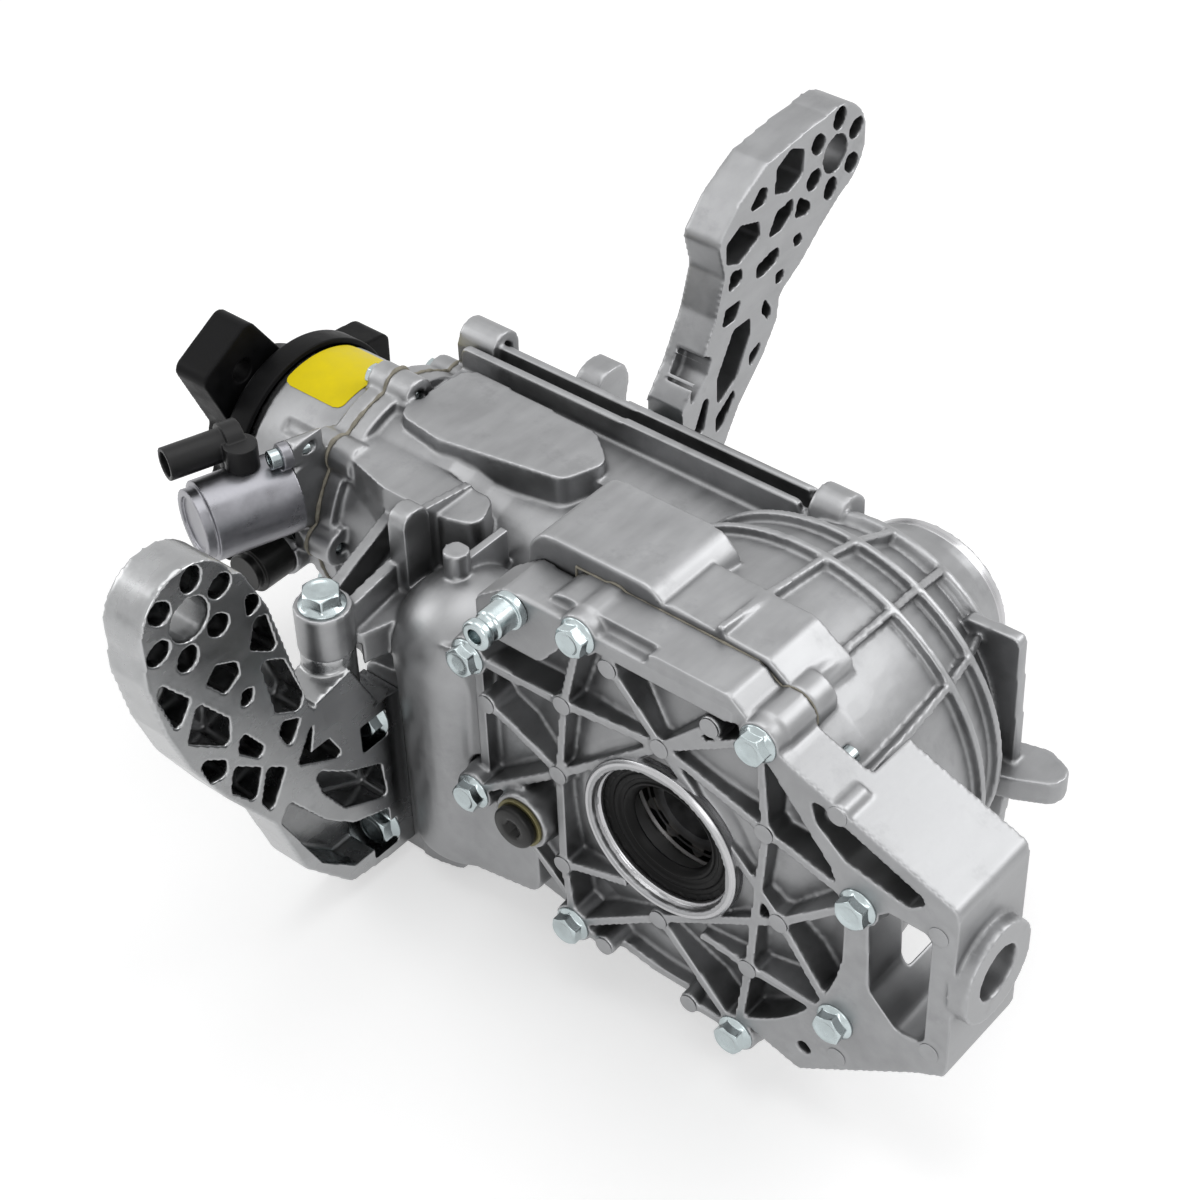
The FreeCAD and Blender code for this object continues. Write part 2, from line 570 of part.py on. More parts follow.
def left_arm_space():
    """Room in the main housing for the foot of the left arm, and for the boss under its top bolt."""
    back = ARM_FACE_X - ARM_THICKNESS
    side = Part.makeBox(ARM_THICKNESS + 14, 60, 122, V(back - 7, FOOT_PLANE_Y - 60, -126))
    top = rod("Z", -60, ARM_SEAT_Z, 15, LEFT_TOP_BOLT)
    return joined([side, top])


def right_arm_space():
    """Room in the main housing for the foot of the right arm."""
    back = ARM_FACE_X - ARM_THICKNESS
    return Part.makeBox(ARM_THICKNESS + 14, 60, 122, V(back - 7, RIGHT_PLANE_Y, -90))


def arm_casting(outline, head, pockets, first_angle):
    """A lattice arm: a thick outline whose rear face is cut into pockets, with a ring of them round its bore."""
    front = ARM_FACE_X
    back = ARM_FACE_X - ARM_THICKNESS
    floor = back + ARM_FLOOR
    body = joined([slab("X", back, front, outline, 8), rod("X", back, front, ARM_HEAD, head)])
    tools = [slab("X", floor, front + 1, corners, POCKET_CORNER) for corners in pockets]
    for angle in evenly(HEAD_POCKETS, first_angle):
        inner = polar(head, HEAD_POCKET_CIRCLE - 0.8, angle)
        outer = polar(head, HEAD_POCKET_CIRCLE + 0.8, angle)
        tools.append(strap("X", floor + 2, front + 1, inner, outer, HEAD_POCKET_RADIUS))
    tools.append(rod("X", back - 1, front + 1, ARM_BORE, head))
    return without(body, tools)


LEFT_HEAD = (LEFT_BORE_Y, LEFT_BORE_Z)
RIGHT_HEAD = (RIGHT_BORE_Y, RIGHT_BORE_Z)
LEFT_OUTLINE = [(-112, 104), (-116, 76), (-110, 44), (-101, 18), (-84, -12), (-62, -44), (-48, -84),
                (-22, -114), (8, -118), (FOOT_PLANE_Y, -116), (FOOT_PLANE_Y, -22), (6, -22), (-16, -14), (-33, 4),
                (-48, 72), (-60, 100)]
LEFT_POCKETS = [[(-59, 86), (-53, 82), (-52, 76), (-60, 73)],
                [(-56, 71), (-50, 69), (-46, 46), (-61, 57)],
                [(-57, 48), (-44, 40), (-36, 14), (-39, 7), (-52, 15)],
                [(-49, 8), (-39, 3), (-47, -10), (-52, 3)],
                [(-33, -4), (-16, -38), (-44, -22)],
                [(-36, -32), (-17, -47), (4, -58), (6, -80), (-20, -67), (-32, -48)],
                [(-52, -38), (-44, -50), (-32, -66), (-16, -80), (6, -88), (6, -106), (-18, -106), (-38, -88),
                 (-50, -64), (-58, -46)],
                [(-79, 4), (-64, -8), (-70, -24), (-82, -9)],
                [(-61, -10), (-51, -18), (-62, -37), (-67, -27)],
                [(-97, 21), (-82, 10), (-83, 2), (-92, 4)],
                [(-92, 50), (-77, 30), (-79, 16), (-100, 33)],
                [(-72, 19), (-61, 2), (-64, -3), (-75, 9)],
                [(-109, 72), (-95, 54), (-104, 42), (-111, 66)],
                [(-68, 40), (-62, 37), (-64, 30), (-70, 31)],
                [(-80, 62), (-69, 56), (-68, 49), (-77, 44), (-86, 56)]]
RIGHT_OUTLINE = [(362, 121), (330, 122), (292, 118), (270, 106), (254, 91), (259, 72), (252, 50), (238, 26),
                 (214, -4), (204, -14), (204, -72), (228, -72), (250, -44), (272, -10), (290, 7), (302, 24),
                 (304, 38), (322, 48), (338, 61), (352, 70), (372, 86)]
RIGHT_POCKETS = [[(311, 117), (322, 112), (321, 98), (310, 94), (298, 98), (300, 112)],
                 [(286, 107), (293, 105), (291, 97), (277, 97)],
                 [(318, 87), (328, 79), (328, 73), (315, 76)],
                 [(300, 87), (314, 89), (313, 80), (304, 75), (293, 75)],
                 [(271, 94), (286, 89), (287, 80), (271, 73), (261, 77), (260, 88)],
                 [(298, 67), (303, 66), (302, 59), (290, 56), (284, 57), (285, 64)],
                 [(314, 66), (320, 66), (323, 59), (316, 59)],
                 [(300, 52), (308, 51), (306, 45), (300, 45)],
                 [(264, 71), (273, 69), (273, 62), (262, 60)],
                 [(260, 52), (273, 52), (268, 42), (257, 42)],
                 [(280, 37), (280, 27), (269, 6), (254, -2), (253, 14), (266, 36)],
                 [(291, 43), (297, 33), (296, 26), (289, 35)],
                 [(290, 19), (287, 12), (279, 5), (280, 15)],
                 [(243, 34), (249, 30), (245, 21), (232, 9), (232, 17)],
                 [(243, 9), (247, 6), (242, -12), (235, -8)],
                 [(267, 1), (268, -4), (258, -16), (252, -19), (253, -8)],
                 [(238, -20), (245, -25), (240, -42), (233, -38)]]


def left_mount_arm():
    """The left mounting arm, with its foot against the main housing."""
    arm = arm_casting(LEFT_OUTLINE, LEFT_HEAD, LEFT_POCKETS, 18)
    back = ARM_FACE_X - ARM_THICKNESS
    top_boss = rod("Z", -24, ARM_SEAT_Z, 12.5, LEFT_TOP_BOLT)
    top_web = slab("X", back, ARM_FACE_X, [(-36, -20), (-30, 4), (-8, 8), (6, -20)])
    side = []
    for bolt in LEFT_ARM_SIDE_BOLTS:
        side.append(slab("Y", LEFT_FOOT_SEAT_Y, FOOT_PLANE_Y, [(back, bolt[1] - 13), (back, bolt[1] + 13),
                                                               (ARM_FACE_X, bolt[1] + 13),
                                                               (ARM_FACE_X, bolt[1] - 13)]))
    solid = joined([arm, top_boss, top_web] + side)
    tools = [bolt_hole("Z", LEFT_TOP_SEAT_Z, LEFT_TOP_BOLT, M10, ARM_BOLT_LENGTH + 4, -1)]
    for bolt in LEFT_ARM_SIDE_BOLTS:
        tools.append(rod("Y", LEFT_FOOT_SEAT_Y - 16, LEFT_FOOT_SEAT_Y, 11.8, bolt))
        tools.append(bolt_hole("Y", LEFT_FOOT_SEAT_Y, bolt, M10, ARM_BOLT_LENGTH))
    return without(solid, tools)


def right_mount_arm():
    """The right mounting arm, with its foot against the main housing."""
    arm = arm_casting(RIGHT_OUTLINE, RIGHT_HEAD, RIGHT_POCKETS, 20.5)
    back = ARM_FACE_X - ARM_THICKNESS
    foot = slab("X", back, ARM_FACE_X, [(RIGHT_PLANE_Y, -74), (RIGHT_PLANE_Y, 16), (212, 16), (212, -74)])
    solid = joined([arm, foot])
    tools = []
    for bolt in RIGHT_ARM_BOLTS:
        tools.append(bolt_hole("Y", RIGHT_FOOT_SEAT_Y, bolt, M10, ARM_BOLT_LENGTH, -1))
        tools.append(rod("Y", RIGHT_FOOT_SEAT_Y, RIGHT_FOOT_SEAT_Y + 18, 11.8, bolt))
    return without(solid, tools)


def left_arm_bolts():
    """The upright bolt and the two side bolts of the left arm."""
    bolts = [flange_bolt("Y", LEFT_FOOT_SEAT_Y, place, M10, ARM_BOLT_LENGTH) for place in LEFT_ARM_SIDE_BOLTS]
    bolts.append(flange_bolt("Z", LEFT_TOP_SEAT_Z, LEFT_TOP_BOLT, M10, ARM_BOLT_LENGTH + 4, -1))
    return Part.makeCompound(bolts)


def right_arm_bolts():
    """The three bolts of the right arm."""
    return Part.makeCompound([flange_bolt("Y", RIGHT_FOOT_SEAT_Y, place, M10, ARM_BOLT_LENGTH, -1)
                              for place in RIGHT_ARM_BOLTS])


# Bearings and seals

ROLLERS = 12
ROLLER_RADIUS = 3.3
ROLLER_TILT = 12.0


def roller_line(s, width, inner, outer):
    """The radius of the roller axes of a tapered bearing at a place along it."""
    return (inner + outer) / 2 + (s - width / 2) * math.tan(math.radians(ROLLER_TILT))


def bearing_cup(axis, start, width, inner, outer, centre, sense):
    """The outer ring of a tapered bearing; the sense is where its wide end faces."""
    gap = ROLLER_RADIUS / math.cos(math.radians(ROLLER_TILT)) + RUN_GAP
    profile = [(0, outer), (width, outer), (width, roller_line(width, width, inner, outer) + gap),
               (0, roller_line(0, width, inner, outer) + gap)]
    return lathe(axis, [(start + sense * s, r) for s, r in profile], centre)


def bearing_cone(axis, start, width, inner, outer, centre, sense):
    """The inner ring of a tapered bearing with its caged rollers."""
    gap = ROLLER_RADIUS / math.cos(math.radians(ROLLER_TILT)) + RUN_GAP
    low = 0.1 * width
    high = 0.9 * width
    profile = [(0, inner), (width, inner), (width, roller_line(width, width, inner, outer) - gap),
               (0, roller_line(0, width, inner, outer) - gap)]
    cone = lathe(axis, [(start + sense * s, r) for s, r in profile], centre)
    cage = [(low - 1, roller_line(low - 1, width, inner, outer) - 0.7),
            (low - 1, roller_line(low - 1, width, inner, outer) + 0.7),
            (high + 1, roller_line(high + 1, width, inner, outer) + 0.7),
            (high + 1, roller_line(high + 1, width, inner, outer) - 0.7)]
    cage_ring = lathe(axis, [(start + sense * s, r) for s, r in cage], centre)
    first = point(axis, start + sense * low, centre[0] + roller_line(low, width, inner, outer), centre[1])
    last = point(axis, start + sense * high, centre[0] + roller_line(high, width, inner, outer), centre[1])
    run = last - first
    roller = Part.makeCylinder(ROLLER_RADIUS, run.Length, first, run)
    caged = joined([cage_ring] + spun(roller, axis, centre, evenly(ROLLERS)))
    return Part.makeCompound([cone, caged])


def shaft_seal(axis, start, outer, lip, centre, sense):
    """A shaft seal with a sprung lip; the sense is where its open side faces."""
    profile = [(0, outer), (SEAL_WIDTH, outer), (SEAL_WIDTH, outer - 2), (2.5, outer - 2.5), (3.5, lip + 4),
               (7.5, lip + 3.2), (7.5, lip + 1), (5.5, lip), (2, lip + 2), (0, lip + 5)]
    return lathe(axis, [(start + sense * s, r) for s, r in profile], centre)


def left_output_seal():
    return shaft_seal("Y", SEAL_DEPTH, SEAL_BORE, SEAL_LIP, OUTPUT, 1)


def right_output_seal():
    return shaft_seal("Y", RIGHT_FACE_Y - SEAL_DEPTH, SEAL_BORE, SEAL_LIP, OUTPUT, -1)


def left_carrier_shim():
    """The ring that sets the preload of the case bearings."""
    return ring("Y", LEFT_BEARING_Y, LEFT_BEARING_Y + SHIM, 30.5, BEARING_RADIUS, OUTPUT)


def left_carrier_cup():
    return bearing_cup("Y", LEFT_BEARING_Y + SHIM, CUP_WIDTH, TRUNNION_RADIUS, BEARING_RADIUS, OUTPUT, 1)


def right_carrier_cup():
    return bearing_cup("Y", RIGHT_BEARING_Y + BEARING_WIDTH, CUP_WIDTH, TRUNNION_RADIUS, BEARING_RADIUS,
                       OUTPUT, -1)


def left_carrier_bearing():
    return bearing_cone("Y", LEFT_BEARING_Y + SHIM, CUP_WIDTH, TRUNNION_RADIUS, BEARING_RADIUS, OUTPUT, 1)


def right_carrier_bearing():
    return bearing_cone("Y", RIGHT_BEARING_Y + BEARING_WIDTH, CUP_WIDTH, TRUNNION_RADIUS, BEARING_RADIUS,
                        OUTPUT, -1)


def pinion_head_cup():
    return bearing_cup("X", HEAD_BEARING_X, PINION_BEARING_WIDTH, PINION_SHAFT, PINION_CUP, INPUT, 1)


def pinion_tail_cup():
    return bearing_cup("X", TAIL_BEARING_X + PINION_BEARING_WIDTH, PINION_BEARING_WIDTH, PINION_SHAFT,
                       PINION_CUP, INPUT, -1)


def pinion_head_bearing():
    return bearing_cone("X", HEAD_BEARING_X, PINION_BEARING_WIDTH, PINION_SHAFT, PINION_CUP, INPUT, 1)


def pinion_tail_bearing():
    return bearing_cone("X", TAIL_BEARING_X + PINION_BEARING_WIDTH, PINION_BEARING_WIDTH, PINION_SHAFT,
                        PINION_CUP, INPUT, -1)


# Bevel gears

def tooth_section(distance, pitch_distance, module, fill, sink):
    """The corners of a tooth across its length, as (sideways, away from the cone) pairs."""
    scale = module * distance / pitch_distance
    tip = TOOTH_ADDENDUM * scale
    root = TOOTH_DEDENDUM * scale + sink
    half = fill * math.pi * scale / 4
    lean = math.tan(math.radians(20))
    return [(-half - root * lean, -root), (-half + tip * lean, tip), (half - tip * lean, tip),
            (half + root * lean, -root)]


def bevel_tooth(cone_angle, outer_distance, face, module, fill, twist):
    """One tooth of a bevel gear whose apex is the origin and whose axis is X."""
    wires = []
    steps = 3 if twist else 2
    turn = math.radians(cone_angle)
    along = V(math.cos(turn), 0, math.sin(turn))
    away = V(-math.sin(turn), 0, math.cos(turn))
    for i in range(steps):
        share = i / (steps - 1)
        distance = outer_distance - face * share
        corners = [along * distance + V(0, side, 0) + away * lift
                   for side, lift in tooth_section(distance, outer_distance, module, fill, 0.4)]
        wire = Part.makePolygon(corners + corners[:1])
        wire.rotate(V(0, 0, 0), V(1, 0, 0), twist * (share - 0.5))
        wires.append(wire)
    return Part.makeLoft(wires, True, True)


def bevel_gear(teeth, cone_angle, outer_distance, face, module, fill, body, twist, phase):
    """A bevel gear about X with its apex at the origin, from a turned body and its teeth."""
    blank = lathe("X", body, (0, 0))
    tooth = bevel_tooth(cone_angle, outer_distance, face, module, fill, twist)
    return blank.multiFuse(spun(tooth, "X", (0, 0), evenly(teeth, phase)))


def seated(gear, place, axis, flip, turn=0.0):
    """A gear moved from the X axis at the origin to its own axis and apex."""
    gear = gear.copy()
    gear.rotate(V(0, 0, 0), V(1, 0, 0), turn)
    if axis == "X" and flip:
        gear.rotate(V(0, 0, 0), V(0, 0, 1), 180)
    if axis == "Y":
        gear.rotate(V(0, 0, 0), V(0, 0, 1), -90 if flip else 90)
    if axis == "Z":
        gear.rotate(V(0, 0, 0), V(0, 1, 0), 90 if flip else -90)
    gear.translate(place)
    return gear


RING_CONE = math.degrees(math.atan2(RING_TEETH, PINION_TEETH))
PINION_CONE = 90.0 - RING_CONE
RING_PITCH = GEAR_MODULE * RING_TEETH / 2
PINION_PITCH = GEAR_MODULE * PINION_TEETH / 2
CONE_DISTANCE = math.hypot(RING_PITCH, PINION_PITCH)
TOOTH_ADDENDUM = 0.85
TOOTH_DEDENDUM = 1.15


def root_point(cone_angle, distance, outer_distance, module):
    """The bottom of the tooth gaps at a cone distance, as (along the axis, radius)."""
    turn = math.radians(cone_angle)
    root = TOOTH_DEDENDUM * module * distance / outer_distance
    return (distance * math.cos(turn) + root * math.sin(turn),
            distance * math.sin(turn) - root * math.cos(turn))


def ring_gear():
    """The ring gear, bolted to the flange of the differential case."""
    back = INPUT_Y - RING_BACK_Y
    heel = root_point(RING_CONE, CONE_DISTANCE, CONE_DISTANCE, GEAR_MODULE)
    toe = root_point(RING_CONE, CONE_DISTANCE - FACE_WIDTH, CONE_DISTANCE, GEAR_MODULE)
    body = [(back, RING_BORE), (back, heel[1]), (back - 3, heel[1] + 3), (heel[0] + 3, heel[1] + 3), heel, toe,
            (toe[0] + 2, RING_BORE)]
    gear = bevel_gear(RING_TEETH, RING_CONE, CONE_DISTANCE, FACE_WIDTH, GEAR_MODULE, TOOTH_FILL, body,
                      RING_TWIST, 0.0)
    gear = seated(gear, V(0, INPUT_Y, 0), "Y", True, 90.0)
    holes = [bolt_hole("Y", RING_BOLT_SEAT_Y, polar(OUTPUT, RING_BOLT_CIRCLE, a), M10, RING_BOLT_LENGTH)
             for a in evenly(RING_BOLTS, RING_BOLT_FIRST)]
    return without(gear, holes)


RING_BOLT_SEAT_Y = 57.0
RING_BOLT_LENGTH = 20.0
RING_BOLT_FIRST = 22.5
SHIM = 1.2
CUP_WIDTH = BEARING_WIDTH - SHIM


def drive_pinion():
    """The drive pinion with its stepped shaft."""
    heel = root_point(PINION_CONE, CONE_DISTANCE, CONE_DISTANCE, GEAR_MODULE)
    toe = root_point(PINION_CONE, CONE_DISTANCE - FACE_WIDTH, CONE_DISTANCE, GEAR_MODULE)
    shoulder = -HEAD_BEARING_X - PINION_BEARING_WIDTH
    body = [(toe[0] - 2, 0), (toe[0] - 2, toe[1] - 3), toe, heel, (heel[0] + 3, heel[1]), (shoulder, 21.5),
            (shoulder, PINION_SHAFT), (-TAIL_BEARING_X, PINION_SHAFT), (-TAIL_BEARING_X, PINION_TAIL),
            (PINION_TAIL_END, PINION_TAIL), (PINION_TAIL_END, PILOT_RADIUS),
            (PILOT_END, PILOT_RADIUS), (PILOT_END, 0)]
    ratio = RING_TEETH / PINION_TEETH
    gear = bevel_gear(PINION_TEETH, PINION_CONE, CONE_DISTANCE, FACE_WIDTH, GEAR_MODULE, TOOTH_FILL, body,
                      -RING_TWIST * ratio, 180.0 / PINION_TEETH)
    return seated(gear, V(0, INPUT_Y, 0), "X", True, PINION_PHASE)


PINION_PHASE = -90.0
PINION_TAIL = 14.0
PINION_TAIL_END = 234.0
PILOT_RADIUS = 8.0
PILOT_END = 252.0


def pinion_spacer():
    """The sleeve between the two pinion bearings."""
    start = TAIL_BEARING_X + PINION_BEARING_WIDTH
    middle = (start + HEAD_BEARING_X) / 2
    return lathe("X", [(start, PINION_SHAFT), (HEAD_BEARING_X, PINION_SHAFT), (HEAD_BEARING_X, 20),
                       (middle + 8, 20), (middle, 23.5), (middle - 8, 20), (start, 20)], INPUT)


def pinion_nut():
    """The nut that holds the pinion bearings."""
    start = TAIL_BEARING_X - 12
    corners = [polar(INPUT, 23, a) for a in evenly(6)]
    return slab("X", start, TAIL_BEARING_X, corners).cut(rod("X", start - 1, 0, PINION_TAIL, INPUT))


def differential_case():
    """The one-piece case that carries the ring gear and the differential gears."""
    middle = DIFF_CENTRE_Y
    wall = CASE_OUTSIDE
    seat = LEFT_BEARING_Y + SHIM
    far = RIGHT_BEARING_Y + BEARING_WIDTH
    body = lathe("Y", [(seat, 0), (seat, TRUNNION_RADIUS), (seat + CUP_WIDTH, TRUNNION_RADIUS),
                       (seat + CUP_WIDTH, 26.5), (46, 27), (56, 38), (RING_BOLT_SEAT_Y, 40),
                       (RING_BOLT_SEAT_Y, RING_BOLT_CIRCLE + 11), (RING_BACK_Y, RING_BOLT_CIRCLE + 11),
                       (RING_BACK_Y, RING_BORE - 0.02), (RING_BACK_Y + 8, RING_BORE - 0.02),
                       (RING_BACK_Y + 10, wall), (middle + 14, wall), (middle + 26, wall - 6),
                       (middle + 36, 29), (far - CUP_WIDTH - 6, 26.5), (far - CUP_WIDTH, 26.5),
                       (far - CUP_WIDTH, TRUNNION_RADIUS), (far, TRUNNION_RADIUS), (far, 0)], OUTPUT)
    ball = Part.makeSphere(CASE_INSIDE, V(0, middle, 0))
    half = SIDE_GEAR_BACK + 0.1
    cavity = ball.common(rod("Y", middle - half, middle + half, CASE_INSIDE + 1, OUTPUT))
    bore = rod("Y", 0, far + 5, SIDE_HUB + RUN_GAP, OUTPUT)
    window = slab("X", -60, 60, [(middle - 21, -15), (middle + 17, -15), (middle + 17, 15), (middle - 21, 15)], 5)
    core = rod("X", -20, 20, 30, (middle, 0))
    pin = rod("Z", -60, 60, CROSS_PIN, (0, middle))
    holes = [bolt_hole("Y", RING_BOLT_SEAT_Y, polar(OUTPUT, RING_BOLT_CIRCLE, a), M10, RING_BOLT_LENGTH)
             for a in evenly(RING_BOLTS, RING_BOLT_FIRST)]
    return without(body, [cavity, bore, window.cut(core), pin] + holes)


SIDE_CONE = math.degrees(math.atan2(SIDE_TEETH, SPIDER_TEETH))
SPIDER_CONE = 90.0 - SIDE_CONE
DIFF_DISTANCE = math.hypot(SIDE_TEETH, SPIDER_TEETH) * DIFF_MODULE / 2
SIDE_GEAR_BACK = 28.6
SIDE_HUB = 16.5
SIDE_HUB_END = 50.0


def side_gear(flip):
    """A differential side gear, with the splined bore for an output shaft."""
    heel = root_point(SIDE_CONE, DIFF_DISTANCE, DIFF_DISTANCE, DIFF_MODULE)
    toe = root_point(SIDE_CONE, DIFF_DISTANCE - DIFF_FACE, DIFF_DISTANCE, DIFF_MODULE)
    body = [(SIDE_HUB_END, OUTPUT_BORE), (SIDE_HUB_END, SIDE_HUB), (SIDE_GEAR_BACK, SIDE_HUB),
            (SIDE_GEAR_BACK, 19.5), heel, toe, (toe[0], OUTPUT_BORE)]
    gear = bevel_gear(SIDE_TEETH, SIDE_CONE, DIFF_DISTANCE, DIFF_FACE, DIFF_MODULE, TOOTH_FILL, body, 0.0, 0.0)
    return seated(gear, V(0, DIFF_CENTRE_Y, 0), "Y", flip, 0.0)


def spider_gear(flip):
    """A differential pinion that turns on the cross pin."""
    heel = root_point(SPIDER_CONE, DIFF_DISTANCE, DIFF_DISTANCE, DIFF_MODULE)
    toe = root_point(SPIDER_CONE, DIFF_DISTANCE - DIFF_FACE, DIFF_DISTANCE, DIFF_MODULE)
    bore = CROSS_PIN + RUN_GAP
    rim = heel[1]
    reach = CASE_INSIDE - 0.1
    body = [(toe[0], bore), toe, heel, (math.sqrt(reach ** 2 - rim ** 2) - 0.1, rim),
            (math.sqrt(reach ** 2 - 12.0 ** 2) - 0.1, 12.0), (math.sqrt(reach ** 2 - bore ** 2) - 0.1, bore)]
    gear = bevel_gear(SPIDER_TEETH, SPIDER_CONE, DIFF_DISTANCE, DIFF_FACE, DIFF_MODULE, TOOTH_FILL, body, 0.0,
                      0.0)
    return seated(gear, V(0, DIFF_CENTRE_Y, 0), "Z", flip, 0.0)


def cross_pin():
    """The pin that carries the two differential pinions."""
    return rod("Z", -CASE_OUTSIDE + 1.5, CASE_OUTSIDE - 1.5, CROSS_PIN, (0, DIFF_CENTRE_Y))


def ring_gear_bolts():
    """The bolts that hold the ring gear to the case."""
    return Part.makeCompound([flange_bolt("Y", RING_BOLT_SEAT_Y, polar(OUTPUT, RING_BOLT_CIRCLE, a), M10,
                                          RING_BOLT_LENGTH) for a in evenly(RING_BOLTS, RING_BOLT_FIRST)])


# Clutch

DRUM_END_X = -240.0
HUB_OUTER = 26.0
BALL_BEARING = (COVER_FRONT_X + 15.0, COVER_FRONT_X + 31.0)
PISTON_SPACE = (CLUTCH_JOINT_X - 21.0, CLUTCH_JOINT_X - 5.0)
PISTON_INNER = 34.0
PISTON_OUTER = 44.0
BALL_RACE = 31.0
BALL_PITCH = 23.0
BALL_RADIUS = 4.0
BALLS = 9


def clutch_drum():
    """The drum that turns with the input shaft and holds the steel plates."""
    inner = DRUM_RADIUS - DRUM_WALL
    end = DRUM_END_X
    return lathe("X", [(DRUM_START_X, DRUM_RADIUS), (end, DRUM_RADIUS), (end, 11), (end + 4, 11),
                       (end + 4, inner), (DRUM_START_X, inner)], INPUT)


def plate_place(i):
    """Where plate i of the clutch pack starts."""
    return DRUM_START_X - 6.0 - (i + 1) * (PLATE_THICKNESS + 0.5)


def drum_plates():
    """The steel plates, carried by the drum."""
    plates = [ring("X", plate_place(2 * i), plate_place(2 * i) + PLATE_THICKNESS, HUB_OUTER + 1.5,
                   DRUM_RADIUS - DRUM_WALL, INPUT) for i in range(PLATE_PAIRS + 1)]
    return Part.makeCompound(plates)


def friction_plates():
    """The lined plates, carried by the hub on the pinion shaft."""
    plates = [ring("X", plate_place(2 * i + 1), plate_place(2 * i + 1) + PLATE_THICKNESS, HUB_OUTER,
                   DRUM_RADIUS - DRUM_WALL - 1.5, INPUT) for i in range(PLATE_PAIRS)]
    return Part.makeCompound(plates)


def clutch_hub():
    """The splined hub that ties the lined plates to the pinion shaft."""
    start = DRUM_START_X - 4
    end = -PINION_TAIL_END + 2
    return lathe("X", [(start, PINION_TAIL), (start, 19), (start - 3, 22), (start - 3, HUB_OUTER),
                       (end + 3, HUB_OUTER), (end + 3, 22), (end, 19), (end, PINION_TAIL)], INPUT)


def clutch_piston():
    """The ring piston in the clutch cover that presses the plates together."""
    start = PISTON_SPACE[0] + 2
    end = PISTON_SPACE[1]
    inner = PISTON_INNER + 0.1
    outer = PISTON_OUTER - 0.1
    return lathe("X", [(start, inner), (start, outer), (end - 4, outer), (end, outer - 2), (end, inner + 2),
                       (end - 4, inner)], INPUT)


def cover_boss_parts():
    """The lugs of the clutch cover over the joint, and the seats of the actuator and the sensor."""
    joint = CLUTCH_JOINT_X
    parts = []
    for angle in evenly(CLUTCH_SCREWS, CLUTCH_FIRST_ANGLE):
        place = polar(INPUT, CLUTCH_SCREW_CIRCLE, angle)
        parts.append(rod("X", joint - 11, joint, CLUTCH_LOBE, place))
        parts.append(bar("X", joint - 11, joint, INPUT, place, 2 * CLUTCH_LOBE + 3))
    parts.append(rod("X", joint - 8, joint, BARREL_RADIUS + 5, INPUT))
    parts.append(Part.makeCylinder(ACTUATOR_RADIUS, 34, ACTUATOR_SEAT, ACTUATOR_AXIS * -1))
    parts.append(Part.makeCylinder(SCREW_LUG, 18, ACTUATOR_SEAT + ACTUATOR_SCREW, ACTUATOR_AXIS * -1))
    parts.append(slab("X", -264, joint, [(50, 10), (50, 42), (74, 48), (96, 20), (80, -10)], 4))
    parts.append(rod("Y", SENSOR_SEAT_Y, 92, 13.5, SENSOR_PLACE))
    return parts


ACTUATOR_AXIS = V(-0.34, -0.94, 0).normalize()
ACTUATOR_SEAT = V(-255.0, 48.0, 30.0)
ACTUATOR_RADIUS = 19.5
ACTUATOR_LENGTH = 48.0
ACTUATOR_SIDE = V(0.94, -0.34, 0).normalize()
SENSOR_PLACE = (-264, -8)
SENSOR_SEAT_Y = 44.0


def actuator_point(along, side, up):
    """A point in the frame of the actuator: along its axis, sideways to the rear, and up."""
    return ACTUATOR_SEAT + ACTUATOR_AXIS * along + ACTUATOR_SIDE * side + V(0, 0, up)


def clutch_cover():
    """The round cover of the clutch, with the seats of the input bearing and the seal."""
    joint = CLUTCH_JOINT_X
    front = COVER_FRONT_X
    shell = lathe("X", [(joint, 0), (joint, BARREL_RADIUS), (joint - 8, BARREL_RADIUS), (joint - 14, 50),
                        (front + 4, 50), (front + 4, 48.5), (front, 48.5), (front, 0)], INPUT)
    solid = joined([shell] + cover_boss_parts())
    tools = [rod("X", joint + 1, PISTON_SPACE[1] - 1, DRUM_RADIUS + 3, INPUT),
             ring("X", PISTON_SPACE[0], PISTON_SPACE[1], PISTON_INNER, PISTON_OUTER, INPUT),
             rod("X", joint + 1, BALL_BEARING[0], BALL_RACE, INPUT),
             ring("X", BALL_BEARING[1], BALL_BEARING[1] + SNAP_WIDTH, 20, SNAP_RADIUS + 0.1, INPUT),
             rod("X", joint + 1, front - 1, 27, INPUT),
             rod("X", front - 1, front + SEAL_WIDTH, BALL_RACE, INPUT),
             rod("Y", SENSOR_SEAT_Y - 1, SENSOR_SEAT_Y + 14, 5, SENSOR_PLACE)]
    for angle in evenly(CLUTCH_SCREWS, CLUTCH_FIRST_ANGLE):
        place = polar(INPUT, CLUTCH_SCREW_CIRCLE, angle)
        tools.append(bolt_hole("X", joint - 11, place, 6.0, 24))
        tools.append(rod("X", joint - 40, joint - 11, 7.5, place))
    tools.append(Part.makeCylinder(2.65, 14, actuator_point(1, 0, 0) + ACTUATOR_SCREW, ACTUATOR_AXIS * -1))
    tools.append(actuator_space())
    tools.append(Part.makeBox(60, 200, 200, V(joint, INPUT_Y - 100, -100)))
    return without(solid, tools)


ACTUATOR_SCREW = ACTUATOR_SIDE * 6.0 + V(0, 0, 24.8)
ACTUATOR_TAB = 5.0
SCREW_LUG = 6.5
SNAP_WIDTH = 1.8
SNAP_RADIUS = 32.5


def actuator_space():
    """The room taken by the actuator in front of its seat."""
    return Part.makeCylinder(ACTUATOR_RADIUS + 13, 60, ACTUATOR_SEAT, ACTUATOR_AXIS)


